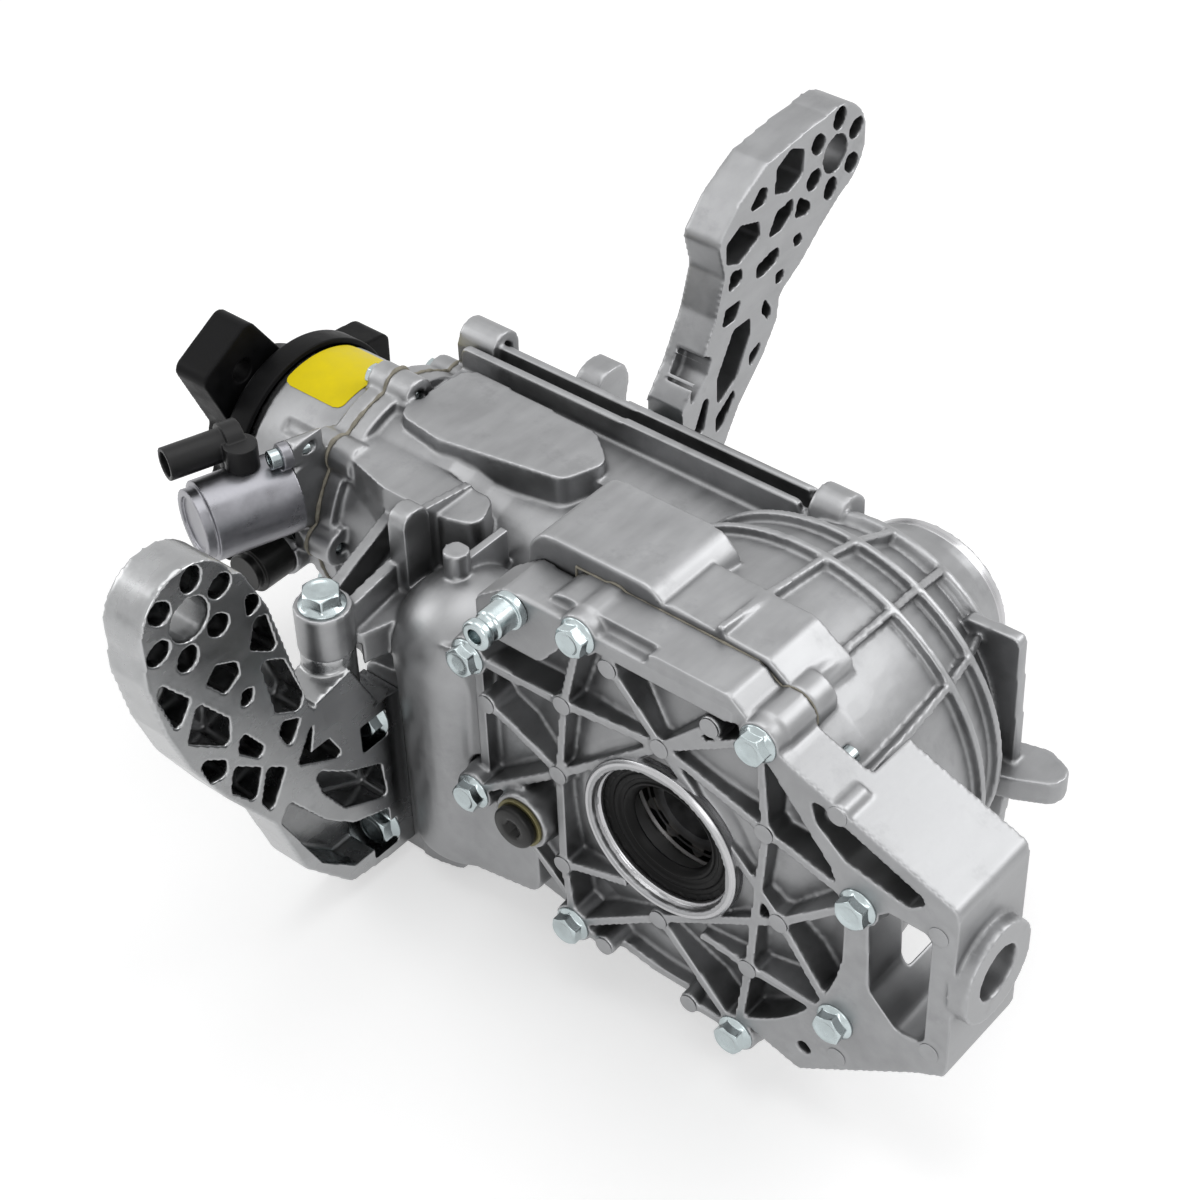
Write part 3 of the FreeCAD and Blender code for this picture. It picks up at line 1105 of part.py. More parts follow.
def actuator_housing():
    """The barrel of the pump actuator, with its flange tab."""
    body = Part.makeCylinder(ACTUATOR_RADIUS, ACTUATOR_LENGTH - 5, actuator_point(0, 0, 0), ACTUATOR_AXIS)
    nose = Part.makeCylinder(ACTUATOR_RADIUS - 2.5, 6, actuator_point(ACTUATOR_LENGTH - 6, 0, 0), ACTUATOR_AXIS)
    tab = Part.makeCylinder(SCREW_LUG, ACTUATOR_TAB, ACTUATOR_SEAT + ACTUATOR_SCREW, ACTUATOR_AXIS)
    recess = Part.makeCylinder(ACTUATOR_RADIUS - 6, 3, actuator_point(ACTUATOR_LENGTH - 1.5, 0, 0), ACTUATOR_AXIS)
    hole = Part.makeCylinder(2.65, 20, actuator_point(-1, 0, 0) + ACTUATOR_SCREW, ACTUATOR_AXIS)
    return without(joined([body, nose, tab]), [recess, hole])


def actuator_screws():
    """The screw that holds the actuator to the clutch cover."""
    seat = ACTUATOR_TAB
    head = Part.makeCylinder(4.6, 5, actuator_point(seat, 0, 0) + ACTUATOR_SCREW, ACTUATOR_AXIS)
    socket = Part.makeCylinder(2.4, 4, actuator_point(seat + 2, 0, 0) + ACTUATOR_SCREW, ACTUATOR_AXIS)
    shank = Part.makeCylinder(2.5, 15, actuator_point(seat + 0.1, 0, 0) + ACTUATOR_SCREW, ACTUATOR_AXIS * -1)
    return joined([head.cut(socket), shank])


CONNECTOR_UP = 27.0
CONNECTOR_RADIUS = 8.0


def actuator_connector():
    """The plug socket of the actuator, on a foot on the barrel."""
    up = CONNECTOR_UP
    body = Part.makeCylinder(CONNECTOR_RADIUS, 34, actuator_point(18, -14, up), ACTUATOR_AXIS)
    collar = Part.makeCylinder(CONNECTOR_RADIUS + 2, 9, actuator_point(15, -14, up), ACTUATOR_AXIS)
    socket = Part.makeCylinder(CONNECTOR_RADIUS - 2, 16, actuator_point(37, -14, up), ACTUATOR_AXIS)
    pins = [Part.makeCylinder(0.8, 8, actuator_point(36, -14 + side, up), ACTUATOR_AXIS) for side in (-3.4, 3.4)]
    foot = Part.makeCylinder(8.0, 22, actuator_point(19, -4, 10), V(0, 0, 1))
    bridge = Part.makeCylinder(7.0, 14, actuator_point(19, -14, 14), V(0, 0, 1))
    barrel_shape = Part.makeCylinder(ACTUATOR_RADIUS, 80, actuator_point(-10, 0, 0), ACTUATOR_AXIS)
    solid = joined([body, collar, foot, bridge]).cut(socket)
    return joined([solid] + pins).cut(barrel_shape)


def pressure_sensor():
    """The round plug-in sensor below the actuator."""
    return joined([rod("Y", 26, SENSOR_SEAT_Y, 12, SENSOR_PLACE),
                   rod("Y", 22, 27, 9.5, SENSOR_PLACE),
                   rod("Y", SENSOR_SEAT_Y - 0.1, SENSOR_SEAT_Y + 12, 4.9, SENSOR_PLACE)])


def clutch_cover_sealant():
    """The film of sealant in the clutch cover joint."""
    joint = CLUTCH_JOINT_X
    film = rod("X", joint, joint + SEAL_FILM, BARREL_RADIUS - 1, INPUT)
    tools = [rod("X", joint - 1, joint + 2, DRUM_RADIUS + 4, INPUT)]
    return without(film, tools)


def clutch_cover_screws():
    """The flange screws of the clutch cover."""
    return Part.makeCompound([flange_bolt("X", CLUTCH_JOINT_X - 11, polar(INPUT, CLUTCH_SCREW_CIRCLE, a), 6.0, 24)
                              for a in evenly(CLUTCH_SCREWS, CLUTCH_FIRST_ANGLE)])


def input_bearing_outer_race():
    race = ring("X", BALL_BEARING[0], BALL_BEARING[1], 25, BALL_RACE, INPUT)
    return race.cut(ball_track())


def input_bearing_inner_race():
    race = ring("X", BALL_BEARING[0], BALL_BEARING[1], INPUT_SHAFT, 21, INPUT)
    return race.cut(ball_track())


def ball_track():
    """The round track of the balls."""
    middle = (BALL_BEARING[0] + BALL_BEARING[1]) / 2
    return Part.makeTorus(BALL_PITCH, BALL_RADIUS + RUN_GAP, V(middle, INPUT_Y, 0), V(1, 0, 0))


def input_bearing_balls():
    """The balls of the input bearing, in their cage."""
    middle = (BALL_BEARING[0] + BALL_BEARING[1]) / 2
    cage = ring("X", middle - 3, middle + 3, BALL_PITCH - 0.6, BALL_PITCH + 0.6, INPUT)
    ball = Part.makeSphere(BALL_RADIUS, V(middle, INPUT_Y + BALL_PITCH, 0))
    return joined([cage] + spun(ball, "X", INPUT, evenly(BALLS)))


def input_bearing_snap_ring():
    """The open ring that holds the input bearing in the clutch cover."""
    snap = ring("X", BALL_BEARING[1], BALL_BEARING[1] + SNAP_WIDTH - 0.1, 28, SNAP_RADIUS, INPUT)
    return snap.cut(slab("X", BALL_BEARING[1] - 8, BALL_BEARING[1] + 12, [(106, -40), (114, -40), (112, -20), (108, -20)]))


def input_seal():
    return shaft_seal("X", COVER_FRONT_X, BALL_RACE, HUB_RADIUS + RUN_GAP, INPUT, 1)


def input_shaft():
    """The input shaft, welded to the clutch drum and bored for the pilot of the pinion."""
    end = DRUM_END_X
    body = lathe("X", [(end + 4, 0), (end + 4, 11), (end, 11), (end, 18), (BALL_BEARING[1], 18),
                       (BALL_BEARING[1], INPUT_SHAFT), (FLANGE_X - 8, INPUT_SHAFT), (FLANGE_X - 8, NUT_THREAD),
                       (FLANGE_X - 22, NUT_THREAD), (FLANGE_X - 22, 0)], INPUT)
    return body.cut(rod("X", -PILOT_END - 2, end + 6, PILOT_RADIUS + RUN_GAP, INPUT))


NUT_THREAD = 10.0


def input_flange():
    """The three-armed flange for the propeller shaft, with its hub."""
    face = FLANGE_X
    hub = rod("X", BALL_BEARING[0], face, HUB_RADIUS, INPUT)
    disc = lathe("X", [(face, 0), (face, 30), (face - 4, 40), (face - FLANGE_PLATE, 36),
                       (face - FLANGE_PLATE, 0)], INPUT)
    arms = []
    half = FLANGE_ARM_WIDTH / 2
    for angle in evenly(FLANGE_ARMS, FLANGE_FIRST_ANGLE):
        arm = slab("X", face - FLANGE_PLATE, face,
                   [(INPUT_Y, -half - 7), (INPUT_Y + FLANGE_REACH, -half), (INPUT_Y + FLANGE_REACH, half),
                    (INPUT_Y, half + 7)], 6)
        arm.rotate(V(0, INPUT_Y, 0), V(1, 0, 0), angle)
        arms.append(arm)
    tools = [rod("X", face - 40, BALL_BEARING[0] + 1, INPUT_SHAFT, INPUT).common(
        rod("X", face - 8, 0, 40, INPUT)),
             rod("X", face - FLANGE_PLATE - 1, face - 8, 21, INPUT)]
    for angle in evenly(FLANGE_ARMS, FLANGE_FIRST_ANGLE):
        tools.append(rod("X", face - FLANGE_PLATE - 1, face + 1, FLANGE_HOLE,
                         polar(INPUT, FLANGE_BOLT_CIRCLE, angle)))
    return without(joined([hub, disc] + arms), tools)


def dust_ring():
    """The shield behind the flange, round the nose of the clutch cover."""
    face = FLANGE_X
    front = COVER_FRONT_X
    return lathe("X", [(face, HUB_RADIUS), (face, 46), (face + 6, 53), (front + 1, 53), (front + 1, 50),
                       (face + 7, 50), (face + 3, 45), (face + 3, HUB_RADIUS)], INPUT)


def flange_nut():
    """The nut that holds the input flange."""
    corners = [polar(INPUT, 17, a) for a in evenly(6, 5)]
    nut = slab("X", FLANGE_X - 19, FLANGE_X - 8, corners)
    washer = rod("X", FLANGE_X - 10, FLANGE_X - 8, 18.5, INPUT)
    return joined([nut, washer]).cut(rod("X", FLANGE_X - 30, 0, NUT_THREAD, INPUT))


# Plugs and breather

def hex_socket_plug(axis, seat, centre, sense, radius):
    """A screw plug with a hex socket; its thread runs from the seat in the given sense."""
    head = lathe(axis, [(seat, 0), (seat, radius), (seat - sense * 3.5, radius),
                        (seat - sense * 4.5, radius - 1), (seat - sense * 4.5, 0)], centre)
    thread = rod(axis, seat - sense * 0.1, seat + sense * 12, 8.0, centre)
    corners = [polar(centre, 5.0, a) for a in evenly(6)]
    socket = slab(axis, seat - sense * 5, seat + sense * 4, corners)
    return joined([head, thread]).cut(socket)


WASHER_THICKNESS = 1.6
PLUG_SEAT_Y = RIB_FACE_Y - 5 - WASHER_THICKNESS
DRAIN_SEAT_Y = DRAIN_FACE_Y + WASHER_THICKNESS


def fill_plug():
    return hex_socket_plug("Y", PLUG_SEAT_Y, PLUG_PLACE, 1, 10.5)


def fill_plug_washer():
    return ring("Y", PLUG_SEAT_Y, PLUG_SEAT_Y + WASHER_THICKNESS, 8.3, 12.0, PLUG_PLACE)


def drain_plug():
    return hex_socket_plug("Y", DRAIN_SEAT_Y, DRAIN_PLACE, -1, 10.5)


def drain_plug_washer():
    return ring("Y", DRAIN_SEAT_Y - WASHER_THICKNESS, DRAIN_SEAT_Y, 8.3, 12.0, DRAIN_PLACE)


def breather_nipple():
    """The short pipe of the breather."""
    outside = [(18, 2.5), (18, 4.0), (RIB_FACE_Y, 4.0), (RIB_FACE_Y, 8.5), (-1, 8.5), (-1, 7), (-11, 7), (-12, 6),
               (-15, 6), (-16, 7), (-19, 7), (-20, 6), (-20, 3.5), (-14, 3.5), (-13, 2.5)]
    return lathe("Y", outside, NIPPLE_PLACE)


NODES = {
    "main_housing": main_housing,
    "side_cover": side_cover,
    "side_cover_sealant": cover_sealant,
    "side_cover_dowels": cover_dowels,
    "side_cover_bolts": side_cover_bolts,
    "clutch_cover": clutch_cover,
    "clutch_cover_sealant": clutch_cover_sealant,
    "clutch_cover_screws": clutch_cover_screws,
    "left_mount_arm": left_mount_arm,
    "right_mount_arm": right_mount_arm,
    "left_arm_bolts": left_arm_bolts,
    "right_arm_bolts": right_arm_bolts,
    "left_output_seal": left_output_seal,
    "right_output_seal": right_output_seal,
    "input_seal": input_seal,
    "breather_nipple": breather_nipple,
    "fill_plug": fill_plug,
    "fill_plug_washer": fill_plug_washer,
    "drain_plug": drain_plug,
    "drain_plug_washer": drain_plug_washer,
    "actuator_housing": actuator_housing,
    "actuator_connector": actuator_connector,
    "actuator_screw": actuator_screws,
    "pressure_sensor": pressure_sensor,
    "clutch_piston": clutch_piston,
    "pinion_head_cup": pinion_head_cup,
    "pinion_tail_cup": pinion_tail_cup,
    "left_carrier_shim": left_carrier_shim,
    "left_carrier_cup": left_carrier_cup,
    "right_carrier_cup": right_carrier_cup,
    "input_bearing_outer_race": input_bearing_outer_race,
    "input_bearing_snap_ring": input_bearing_snap_ring,
    "input_bearing_inner_race": input_bearing_inner_race,
    "input_bearing_balls": input_bearing_balls,
    "input_shaft": input_shaft,
    "clutch_drum": clutch_drum,
    "drum_plates": drum_plates,
    "input_flange": input_flange,
    "dust_ring": dust_ring,
    "flange_nut": flange_nut,
    "drive_pinion": drive_pinion,
    "pinion_head_bearing": pinion_head_bearing,
    "pinion_tail_bearing": pinion_tail_bearing,
    "pinion_spacer": pinion_spacer,
    "pinion_nut": pinion_nut,
    "clutch_hub": clutch_hub,
    "friction_plates": friction_plates,
    "differential_case": differential_case,
    "ring_gear": ring_gear,
    "ring_gear_bolts": ring_gear_bolts,
    "cross_pin": cross_pin,
    "left_carrier_bearing": left_carrier_bearing,
    "right_carrier_bearing": right_carrier_bearing,
    "left_side_gear": lambda: side_gear(True),
    "right_side_gear": lambda: side_gear(False),
    "upper_spider_gear": lambda: spider_gear(False),
    "lower_spider_gear": lambda: spider_gear(True),
}

os.makedirs("parts", exist_ok=True)
for name, make in NODES.items():
    shape = make()
    if not shape.isValid():
        raise ValueError(name + " is not a valid shape")
    shape.exportStep("parts/" + name + ".step")
    print(name, len(shape.Solids), round(shape.Volume))
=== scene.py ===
"""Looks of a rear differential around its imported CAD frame.

The castings are rounded copies of the CAD solids, the fasteners, seals and plugs are numpy
surfaces, and every node and piece gets a procedural finish. Lengths in the settings are in
metres, in the frame of the CAD.
"""
import json
import math

import bmesh
import bpy
import numpy as np
from mathutils import Matrix, Vector


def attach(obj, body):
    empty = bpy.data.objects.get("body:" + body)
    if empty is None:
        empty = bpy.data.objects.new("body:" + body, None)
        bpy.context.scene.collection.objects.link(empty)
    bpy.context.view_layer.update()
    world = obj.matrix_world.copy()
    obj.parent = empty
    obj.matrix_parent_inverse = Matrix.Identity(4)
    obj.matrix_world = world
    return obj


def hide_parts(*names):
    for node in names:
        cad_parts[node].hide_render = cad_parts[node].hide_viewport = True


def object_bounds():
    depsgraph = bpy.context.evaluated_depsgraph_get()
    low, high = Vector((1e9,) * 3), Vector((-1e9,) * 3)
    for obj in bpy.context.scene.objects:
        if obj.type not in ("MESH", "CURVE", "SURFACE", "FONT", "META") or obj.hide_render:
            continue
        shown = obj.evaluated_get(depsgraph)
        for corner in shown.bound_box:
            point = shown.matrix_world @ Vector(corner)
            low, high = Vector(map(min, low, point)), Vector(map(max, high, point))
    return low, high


bl_info = {
    "name": "Rear differential looks",
    "version": (1, 0, 0),
    "blender": (4, 5, 0),
    "location": "View3D > Sidebar > Differential",
    "description": "Rounded castings, fasteners and finishes for a rear differential",
    "category": "Object",
}

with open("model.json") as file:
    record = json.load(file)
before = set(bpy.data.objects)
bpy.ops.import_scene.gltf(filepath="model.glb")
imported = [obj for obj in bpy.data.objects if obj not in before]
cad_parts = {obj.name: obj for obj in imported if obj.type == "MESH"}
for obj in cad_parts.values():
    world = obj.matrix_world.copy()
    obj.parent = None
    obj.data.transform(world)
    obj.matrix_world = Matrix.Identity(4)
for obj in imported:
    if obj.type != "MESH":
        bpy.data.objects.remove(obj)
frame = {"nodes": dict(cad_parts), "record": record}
CAD_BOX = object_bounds()
NODES = frame["nodes"]
SLOT_OF = {part["node"]: part["material_slot"] for part in frame["record"]["subparts"]}
MM = 0.001
AXES = {"X": (0, 1, 2), "Y": (1, 0, 2), "Z": (2, 0, 1)}

# Places and sizes of the pieces, in mm in the frame of the CAD

INPUT_AXIS = (110, 0)           # Y and Z of the input axis
OUTPUT_AXIS = (0, 0)            # X and Z of the output axis
LEFT_FACE = 0.0                 # Y of the machined faces of the output bores
RIGHT_FACE = 199.0
SEAL_DEPTH = 6.6                # of the seen face of an output seal behind the machined face
COVER_JOINT_Y = 27.2
COVER_BOLT_SEAT = 3.0
COVER_BOLTS = [(48, 82), (97, 24), (89, -49), (39, -93), (-51, -86), (-106, -38), (-103, 43), (-41, 88)]
RIB_DISCS = [(-94, 21), (-51, 45), (-26, 79), (0, 51), (25, 77), (-55, 3), (52, 36), (-55, -51), (-2, -50),
             (60, -10), (45, -48), (86, 67), (134, 33), (134, -34), (91, -69), (-33, -88), (14, -92)]
CLUTCH_JOINT_X = -244.8
CLUTCH_JOINT_RADIUS = 58.0
CLUTCH_SCREW_SEAT = -256.0
CLUTCH_SCREW_CIRCLE = 56.0
CLUTCH_SCREW_ANGLES = np.radians(87.0 + 45.0 * np.arange(8))
CLUTCH_LOBE = 9.0               # radius of the round lobe about a clutch cover screw
FLANGE_NUT_X = -339.0
LABEL_X = -281.0                # middle of the sticker along the input axis
LABEL_ANGLE = math.radians(84.0)
LABEL_HALF = (18.5, 24.5)       # half its size along the axis and round it
LABEL_THICKNESS = 0.15

# Places and sizes of the stage, in metres

FLOOR_REACH = 6.0
FLOOR_GAP = 0.001
LAMP_AIM = (-0.09, 0.1, 0.0)
LAMPS = [                       # name, place, width, share of the key power
    ("Overhead lamp", (-0.2, 0.1, 1.5), 1.2, 1.0),
    ("Front lamp", (0.9, -1.2, 0.9), 0.9, 0.8),
    ("Left lamp", (-1.4, -0.5, 0.8), 0.7, 0.55),
    ("Right lamp", (0.7, 1.1, 1.1), 0.9, 1.2),
]


# Settings

class CastingSettings(bpy.types.PropertyGroup):
    voxel: bpy.props.FloatProperty(
        name="Voxel", description="Grid size of the remesh that rounds the casting edges",
        default=1.0 * MM, min=0.4 * MM, unit="LENGTH")
    fine_voxel: bpy.props.FloatProperty(
        name="Fine voxel", description="Grid size for the small moulded and turned parts",
        default=0.45 * MM, min=0.2 * MM, unit="LENGTH")
    smoothing: bpy.props.IntProperty(
        name="Smoothing", description="Passes of volume-keeping smoothing, for the finer castings",
        default=4, min=0)
    softness: bpy.props.IntProperty(
        name="Softness", description="Times as many passes for the round castings", default=4, min=1)
    triangles: bpy.props.IntProperty(
        name="Triangles", description="Most triangles of one casting", default=190000, min=1000)
    colour: bpy.props.FloatVectorProperty(
        name="Cast colour", description="Colour of the die-cast aluminium", subtype="COLOR",
        default=(0.345, 0.348, 0.355), min=0.0, max=1.0)
    bright_colour: bpy.props.FloatVectorProperty(
        name="Bright colour", description="Colour of the brighter left arm", subtype="COLOR",
        default=(0.40, 0.405, 0.41), min=0.0, max=1.0)
    roughness: bpy.props.FloatProperty(
        name="Roughness", description="Mean roughness of the casting skin", default=0.42,
        min=0.0, max=1.0, subtype="FACTOR")


class FastenerSettings(bpy.types.PropertyGroup):
    steps: bpy.props.IntProperty(
        name="Steps", description="Points round a bolt head", default=96, min=24)
    colour: bpy.props.FloatVectorProperty(
        name="Zinc colour", description="Colour of the zinc plating", subtype="COLOR",
        default=(0.47, 0.53, 0.54), min=0.0, max=1.0)
    dish: bpy.props.FloatProperty(
        name="Dish", description="Depth of the dish in a bolt head", default=0.5 * MM,
        min=0.0, unit="LENGTH")


class StickerSettings(bpy.types.PropertyGroup):
    colour: bpy.props.FloatVectorProperty(
        name="Sticker colour", description="Colour of the blank label", subtype="COLOR",
        default=(0.80, 0.64, 0.0), min=0.0, max=1.0)
    radius: bpy.props.FloatProperty(
        name="Radius", description="Distance of the label from the input axis",
        default=50.25 * MM, unit="LENGTH")
    corner: bpy.props.FloatProperty(
        name="Corner", description="Corner radius of the label", default=4.5 * MM, unit="LENGTH")


class StageSettings(bpy.types.PropertyGroup):
    camera_place: bpy.props.FloatVectorProperty(
        name="Camera", description="Place of the camera", subtype="TRANSLATION",
        default=(0.471, -0.572, 0.766))
    azimuth: bpy.props.FloatProperty(
        name="Azimuth", description="Turn of the view about the vertical",
        default=math.radians(41.0), subtype="ANGLE")
    elevation: bpy.props.FloatProperty(
        name="Elevation", description="Height of the view above the horizon",
        default=math.radians(40.6), subtype="ANGLE")
    roll: bpy.props.FloatProperty(
        name="Roll", description="Turn of the picture about the view axis",
        default=math.radians(-2.0), subtype="ANGLE")
    lens: bpy.props.FloatProperty(
        name="Lens", description="Focal length for a sensor 36 mm wide", default=78.0)
    world_light: bpy.props.FloatProperty(
        name="World light", description="Strength of the even light on the object", default=0.35)
    key_power: bpy.props.FloatProperty(
        name="Key power", description="Power of the overhead lamp, in watts", default=6.9)


PROPERTY_GROUPS = {
    "casting_settings": CastingSettings,
    "fastener_settings": FastenerSettings,
    "sticker_settings": StickerSettings,
    "stage_settings": StageSettings,
}


# Meshes

def add_piece(name, mesh, material, body="unit", replaced=()):
    """A finished piece at the origin with its material, riding on its body; the nodes it takes the place of
    are hidden.
    """
    piece = bpy.data.objects.new(name, mesh)
    bpy.context.scene.collection.objects.link(piece)
    mesh.materials.clear()
    mesh.materials.append(material)
    mesh.shade_smooth()
    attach(piece, body)
    if replaced:
        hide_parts(*replaced)
    return piece


def mesh_of(name, points, faces):
    """A mesh from an array of points and an array of faces, each a row of point numbers."""
    mesh = bpy.data.meshes.new(name)
    corners = faces.shape[1]
    mesh.vertices.add(len(points))
    mesh.vertices.foreach_set("co", points.astype(np.float32).ravel())
    mesh.loops.add(faces.size)
    mesh.loops.foreach_set("vertex_index", faces.astype(np.int32).ravel())
    mesh.polygons.add(len(faces))
    mesh.polygons.foreach_set("loop_start", np.arange(len(faces), dtype=np.int32) * corners)
    mesh.polygons.foreach_set("loop_total", np.full(len(faces), corners, dtype=np.int32))
    mesh.update(calc_edges=True)
    mesh.validate()
    return mesh


def grid_faces(rows, columns, round_rows=False, round_columns=False, first=0):
    """Quads over a grid of rows x columns points, closed round either way if asked."""
    i = np.arange(rows if round_rows else rows - 1)[:, None]
    j = np.arange(columns if round_columns else columns - 1)[None, :]
    down = (i + 1) % rows
    across = (j + 1) % columns
    quad = np.stack([i * columns + j, i * columns + across, down * columns + across,
                     down * columns + j], axis=-1)
    return quad.reshape(-1, 4) + first


def place(axis, along, u, v):
    """Points from arrays of distance along an axis and its other two coordinates, in mm."""
    order = AXES[axis]
    points = np.empty(np.broadcast(along, u, v).shape + (3,))
    points[..., order[0]] = along
    points[..., order[1]] = u
    points[..., order[2]] = v
    return points * MM


def softened(profile, radius, steps=5):
    """A profile whose corners are rounded.

    Each corner is replaced by a quadratic curve that starts and ends at the radius, or at
    0.45 of the shorter neighbouring run, from it.
    """
    corners = np.asarray(profile, float)
    rounded = [corners[:1]]
    t = np.linspace(0, 1, steps)[:, None]
    for before, corner, after in zip(corners[:-2], corners[1:-1], corners[2:]):
        back = before - corner
        ahead = after - corner
        reach = min(radius, 0.45 * np.hypot(*back), 0.45 * np.hypot(*ahead))
        start = corner + back / max(np.hypot(*back), 1e-9) * reach
        end = corner + ahead / max(np.hypot(*ahead), 1e-9) * reach
        rounded.append((1 - t) ** 2 * start + 2 * t * (1 - t) * corner + t ** 2 * end)
    rounded.append(corners[-1:])
    return np.concatenate(rounded)


def full_turn(steps):
    """The angles of one full turn, as a row."""
    return np.linspace(0, 2 * np.pi, steps, endpoint=False)[None, :]


def wrapped(axis, along, radius, centre):
    """Points and quads of a surface round an axis, in mm.

    Each row is a ring at its distance along the axis; its point at angle a is the centre plus
    the radius there times (cos a, sin a) in the plane across the axis.
    """
    rows, steps = radius.shape
    angle = full_turn(steps)
    points = place(axis, along + 0 * angle, centre[0] + radius * np.cos(angle),
                   centre[1] + radius * np.sin(angle))
    return points.reshape(-1, 3), grid_faces(rows, steps, round_columns=True)


def turned(axis, profile, centre, steps):
    """Points and quads of a surface of revolution from (distance along the axis, radius) in mm."""
    return wrapped(axis, profile[:, :1], profile[:, 1:] + 0 * full_turn(steps), centre)


def hex_radius(angle, across):
    """The distance from the centre of a hexagon to its side, at an angle."""
    sixth = np.pi / 3
    return across / 2 / np.cos((angle % sixth) - sixth / 2)


def stacked(parts):
    """Points and faces of several surfaces as one."""
    points = []
    faces = []
    count = 0
    for p, f in parts:
        points.append(p)
        faces.append(f + count)
        count += len(p)
    return np.concatenate(points), np.concatenate(faces)


def outward(mesh):
    """Turns the faces of closed shells outwards."""
    work = bmesh.new()
    work.from_mesh(mesh)
    bmesh.ops.remove_doubles(work, verts=work.verts, dist=1e-6)
    bmesh.ops.recalc_face_normals(work, faces=work.faces)
    work.to_mesh(mesh)
    work.free()


def smoothed(mesh, passes):
    """Moves each vertex towards the mean of its neighbours, then half back out, several times.

    The two steps, 0.55 inwards and 0.57 outwards, take out the grid steps of a remesh and
    keep the volume.
    """
    count = len(mesh.vertices)
    points = np.empty(count * 3, np.float32)
    mesh.vertices.foreach_get("co", points)
    points = points.reshape(-1, 3).astype(np.float64)
    edges = np.empty(len(mesh.edges) * 2, np.int32)
    mesh.edges.foreach_get("vertices", edges)
    a, b = edges.reshape(-1, 2).T
    degree = np.maximum(np.bincount(a, minlength=count) + np.bincount(b, minlength=count), 1)
    for _ in range(passes):
        for share in (0.55, -0.57):
            total = np.empty_like(points)
            for k in range(3):
                total[:, k] = (np.bincount(a, weights=points[b, k], minlength=count)
                               + np.bincount(b, weights=points[a, k], minlength=count))
            points += share * (total / degree[:, None] - points)
    mesh.vertices.foreach_set("co", points.astype(np.float32).ravel())
    mesh.update()


def applied(piece):
    """The mesh of a piece with its modifiers applied."""
    graph = bpy.context.evaluated_depsgraph_get()
    return bpy.data.meshes.new_from_object(piece.evaluated_get(graph))


def rounded_copy(node, voxel, passes, limit):
    """A copy of a node's mesh with rounded edges: merged, remeshed on a grid, smoothed, thinned."""
    mesh = NODES[node].data.copy()
    work = bmesh.new()
    work.from_mesh(mesh)
    bmesh.ops.remove_doubles(work, verts=work.verts, dist=2e-6)
    work.to_mesh(mesh)
    work.free()
    holder = bpy.data.objects.new(node + "_holder", mesh)
    bpy.context.scene.collection.objects.link(holder)
    remesh = holder.modifiers.new("Remesh", "REMESH")
    remesh.mode = "VOXEL"
    remesh.voxel_size = voxel
    rounded = applied(holder)
    smoothed(rounded, passes)
    holder.modifiers.clear()
    holder.data = rounded
    triangles = sum(len(p.vertices) - 2 for p in rounded.polygons)
    if triangles > limit:
        thin = holder.modifiers.new("Thin", "DECIMATE")
        thin.ratio = limit / triangles
        rounded = applied(holder)
    bpy.data.objects.remove(holder)
    return rounded


# Finishes

def new_material(name):
    """A node material with its Principled shader joined to the output."""
    material = bpy.data.materials.new(name)
    material.use_nodes = True
    tree = material.node_tree
    tree.nodes.clear()
    output = tree.nodes.new("ShaderNodeOutputMaterial")
    shader = tree.nodes.new("ShaderNodeBsdfPrincipled")
    tree.links.new(shader.outputs["BSDF"], output.inputs["Surface"])
    return material, tree, shader


def new_group(name, inputs, outputs):
    """An empty shader node group with float, vector or colour sockets."""
    group = bpy.data.node_groups.new(name, "ShaderNodeTree")
    for label, kind, value in inputs:
        socket = group.interface.new_socket(label, in_out="INPUT", socket_type=kind)
        if value is not None:
            socket.default_value = value
    for label, kind in outputs:
        group.interface.new_socket(label, in_out="OUTPUT", socket_type=kind)
    return group, group.nodes.new("NodeGroupInput"), group.nodes.new("NodeGroupOutput")


FLOAT = "NodeSocketFloat"
VECTOR = "NodeSocketVector"
TONE_LOW = 0.3                  # the noise values between which a tone goes from dark to light
TONE_HIGH = 0.7
PAINTED_SHADE_REACH = 0.022            # metres within which walls darken a spot with painted shade
PAINTED_SHADE_DEEPEST = 0.5              # share of the colour left by the painted shade in the deepest pocket


def noise(tree, vector, scale, detail=3.0, roughness=0.5):
    """A noise texture on a vector socket."""
    node = tree.nodes.new("ShaderNodeTexNoise")
    node.inputs["Scale"].default_value = scale
    node.inputs["Detail"].default_value = detail
    node.inputs["Roughness"].default_value = roughness
    tree.links.new(vector, node.inputs["Vector"])
    return node.outputs["Fac"]


def ranged(tree, value, low, high, start=0.0, end=1.0):
    """A value mapped from one range to another, clamped."""
    node = tree.nodes.new("ShaderNodeMapRange")
    node.inputs["From Min"].default_value = low
    node.inputs["From Max"].default_value = high
    node.inputs["To Min"].default_value = start
    node.inputs["To Max"].default_value = end
    tree.links.new(value, node.inputs["Value"])
    return node.outputs["Result"]


def maths(tree, operation, first, second):
    """A Math node on sockets or numbers."""
    node = tree.nodes.new("ShaderNodeMath")
    node.operation = operation
    for socket, value in zip(node.inputs, (first, second)):
        if isinstance(value, (int, float)):
            socket.default_value = value
        else:
            tree.links.new(value, socket)
    return node.outputs["Value"]


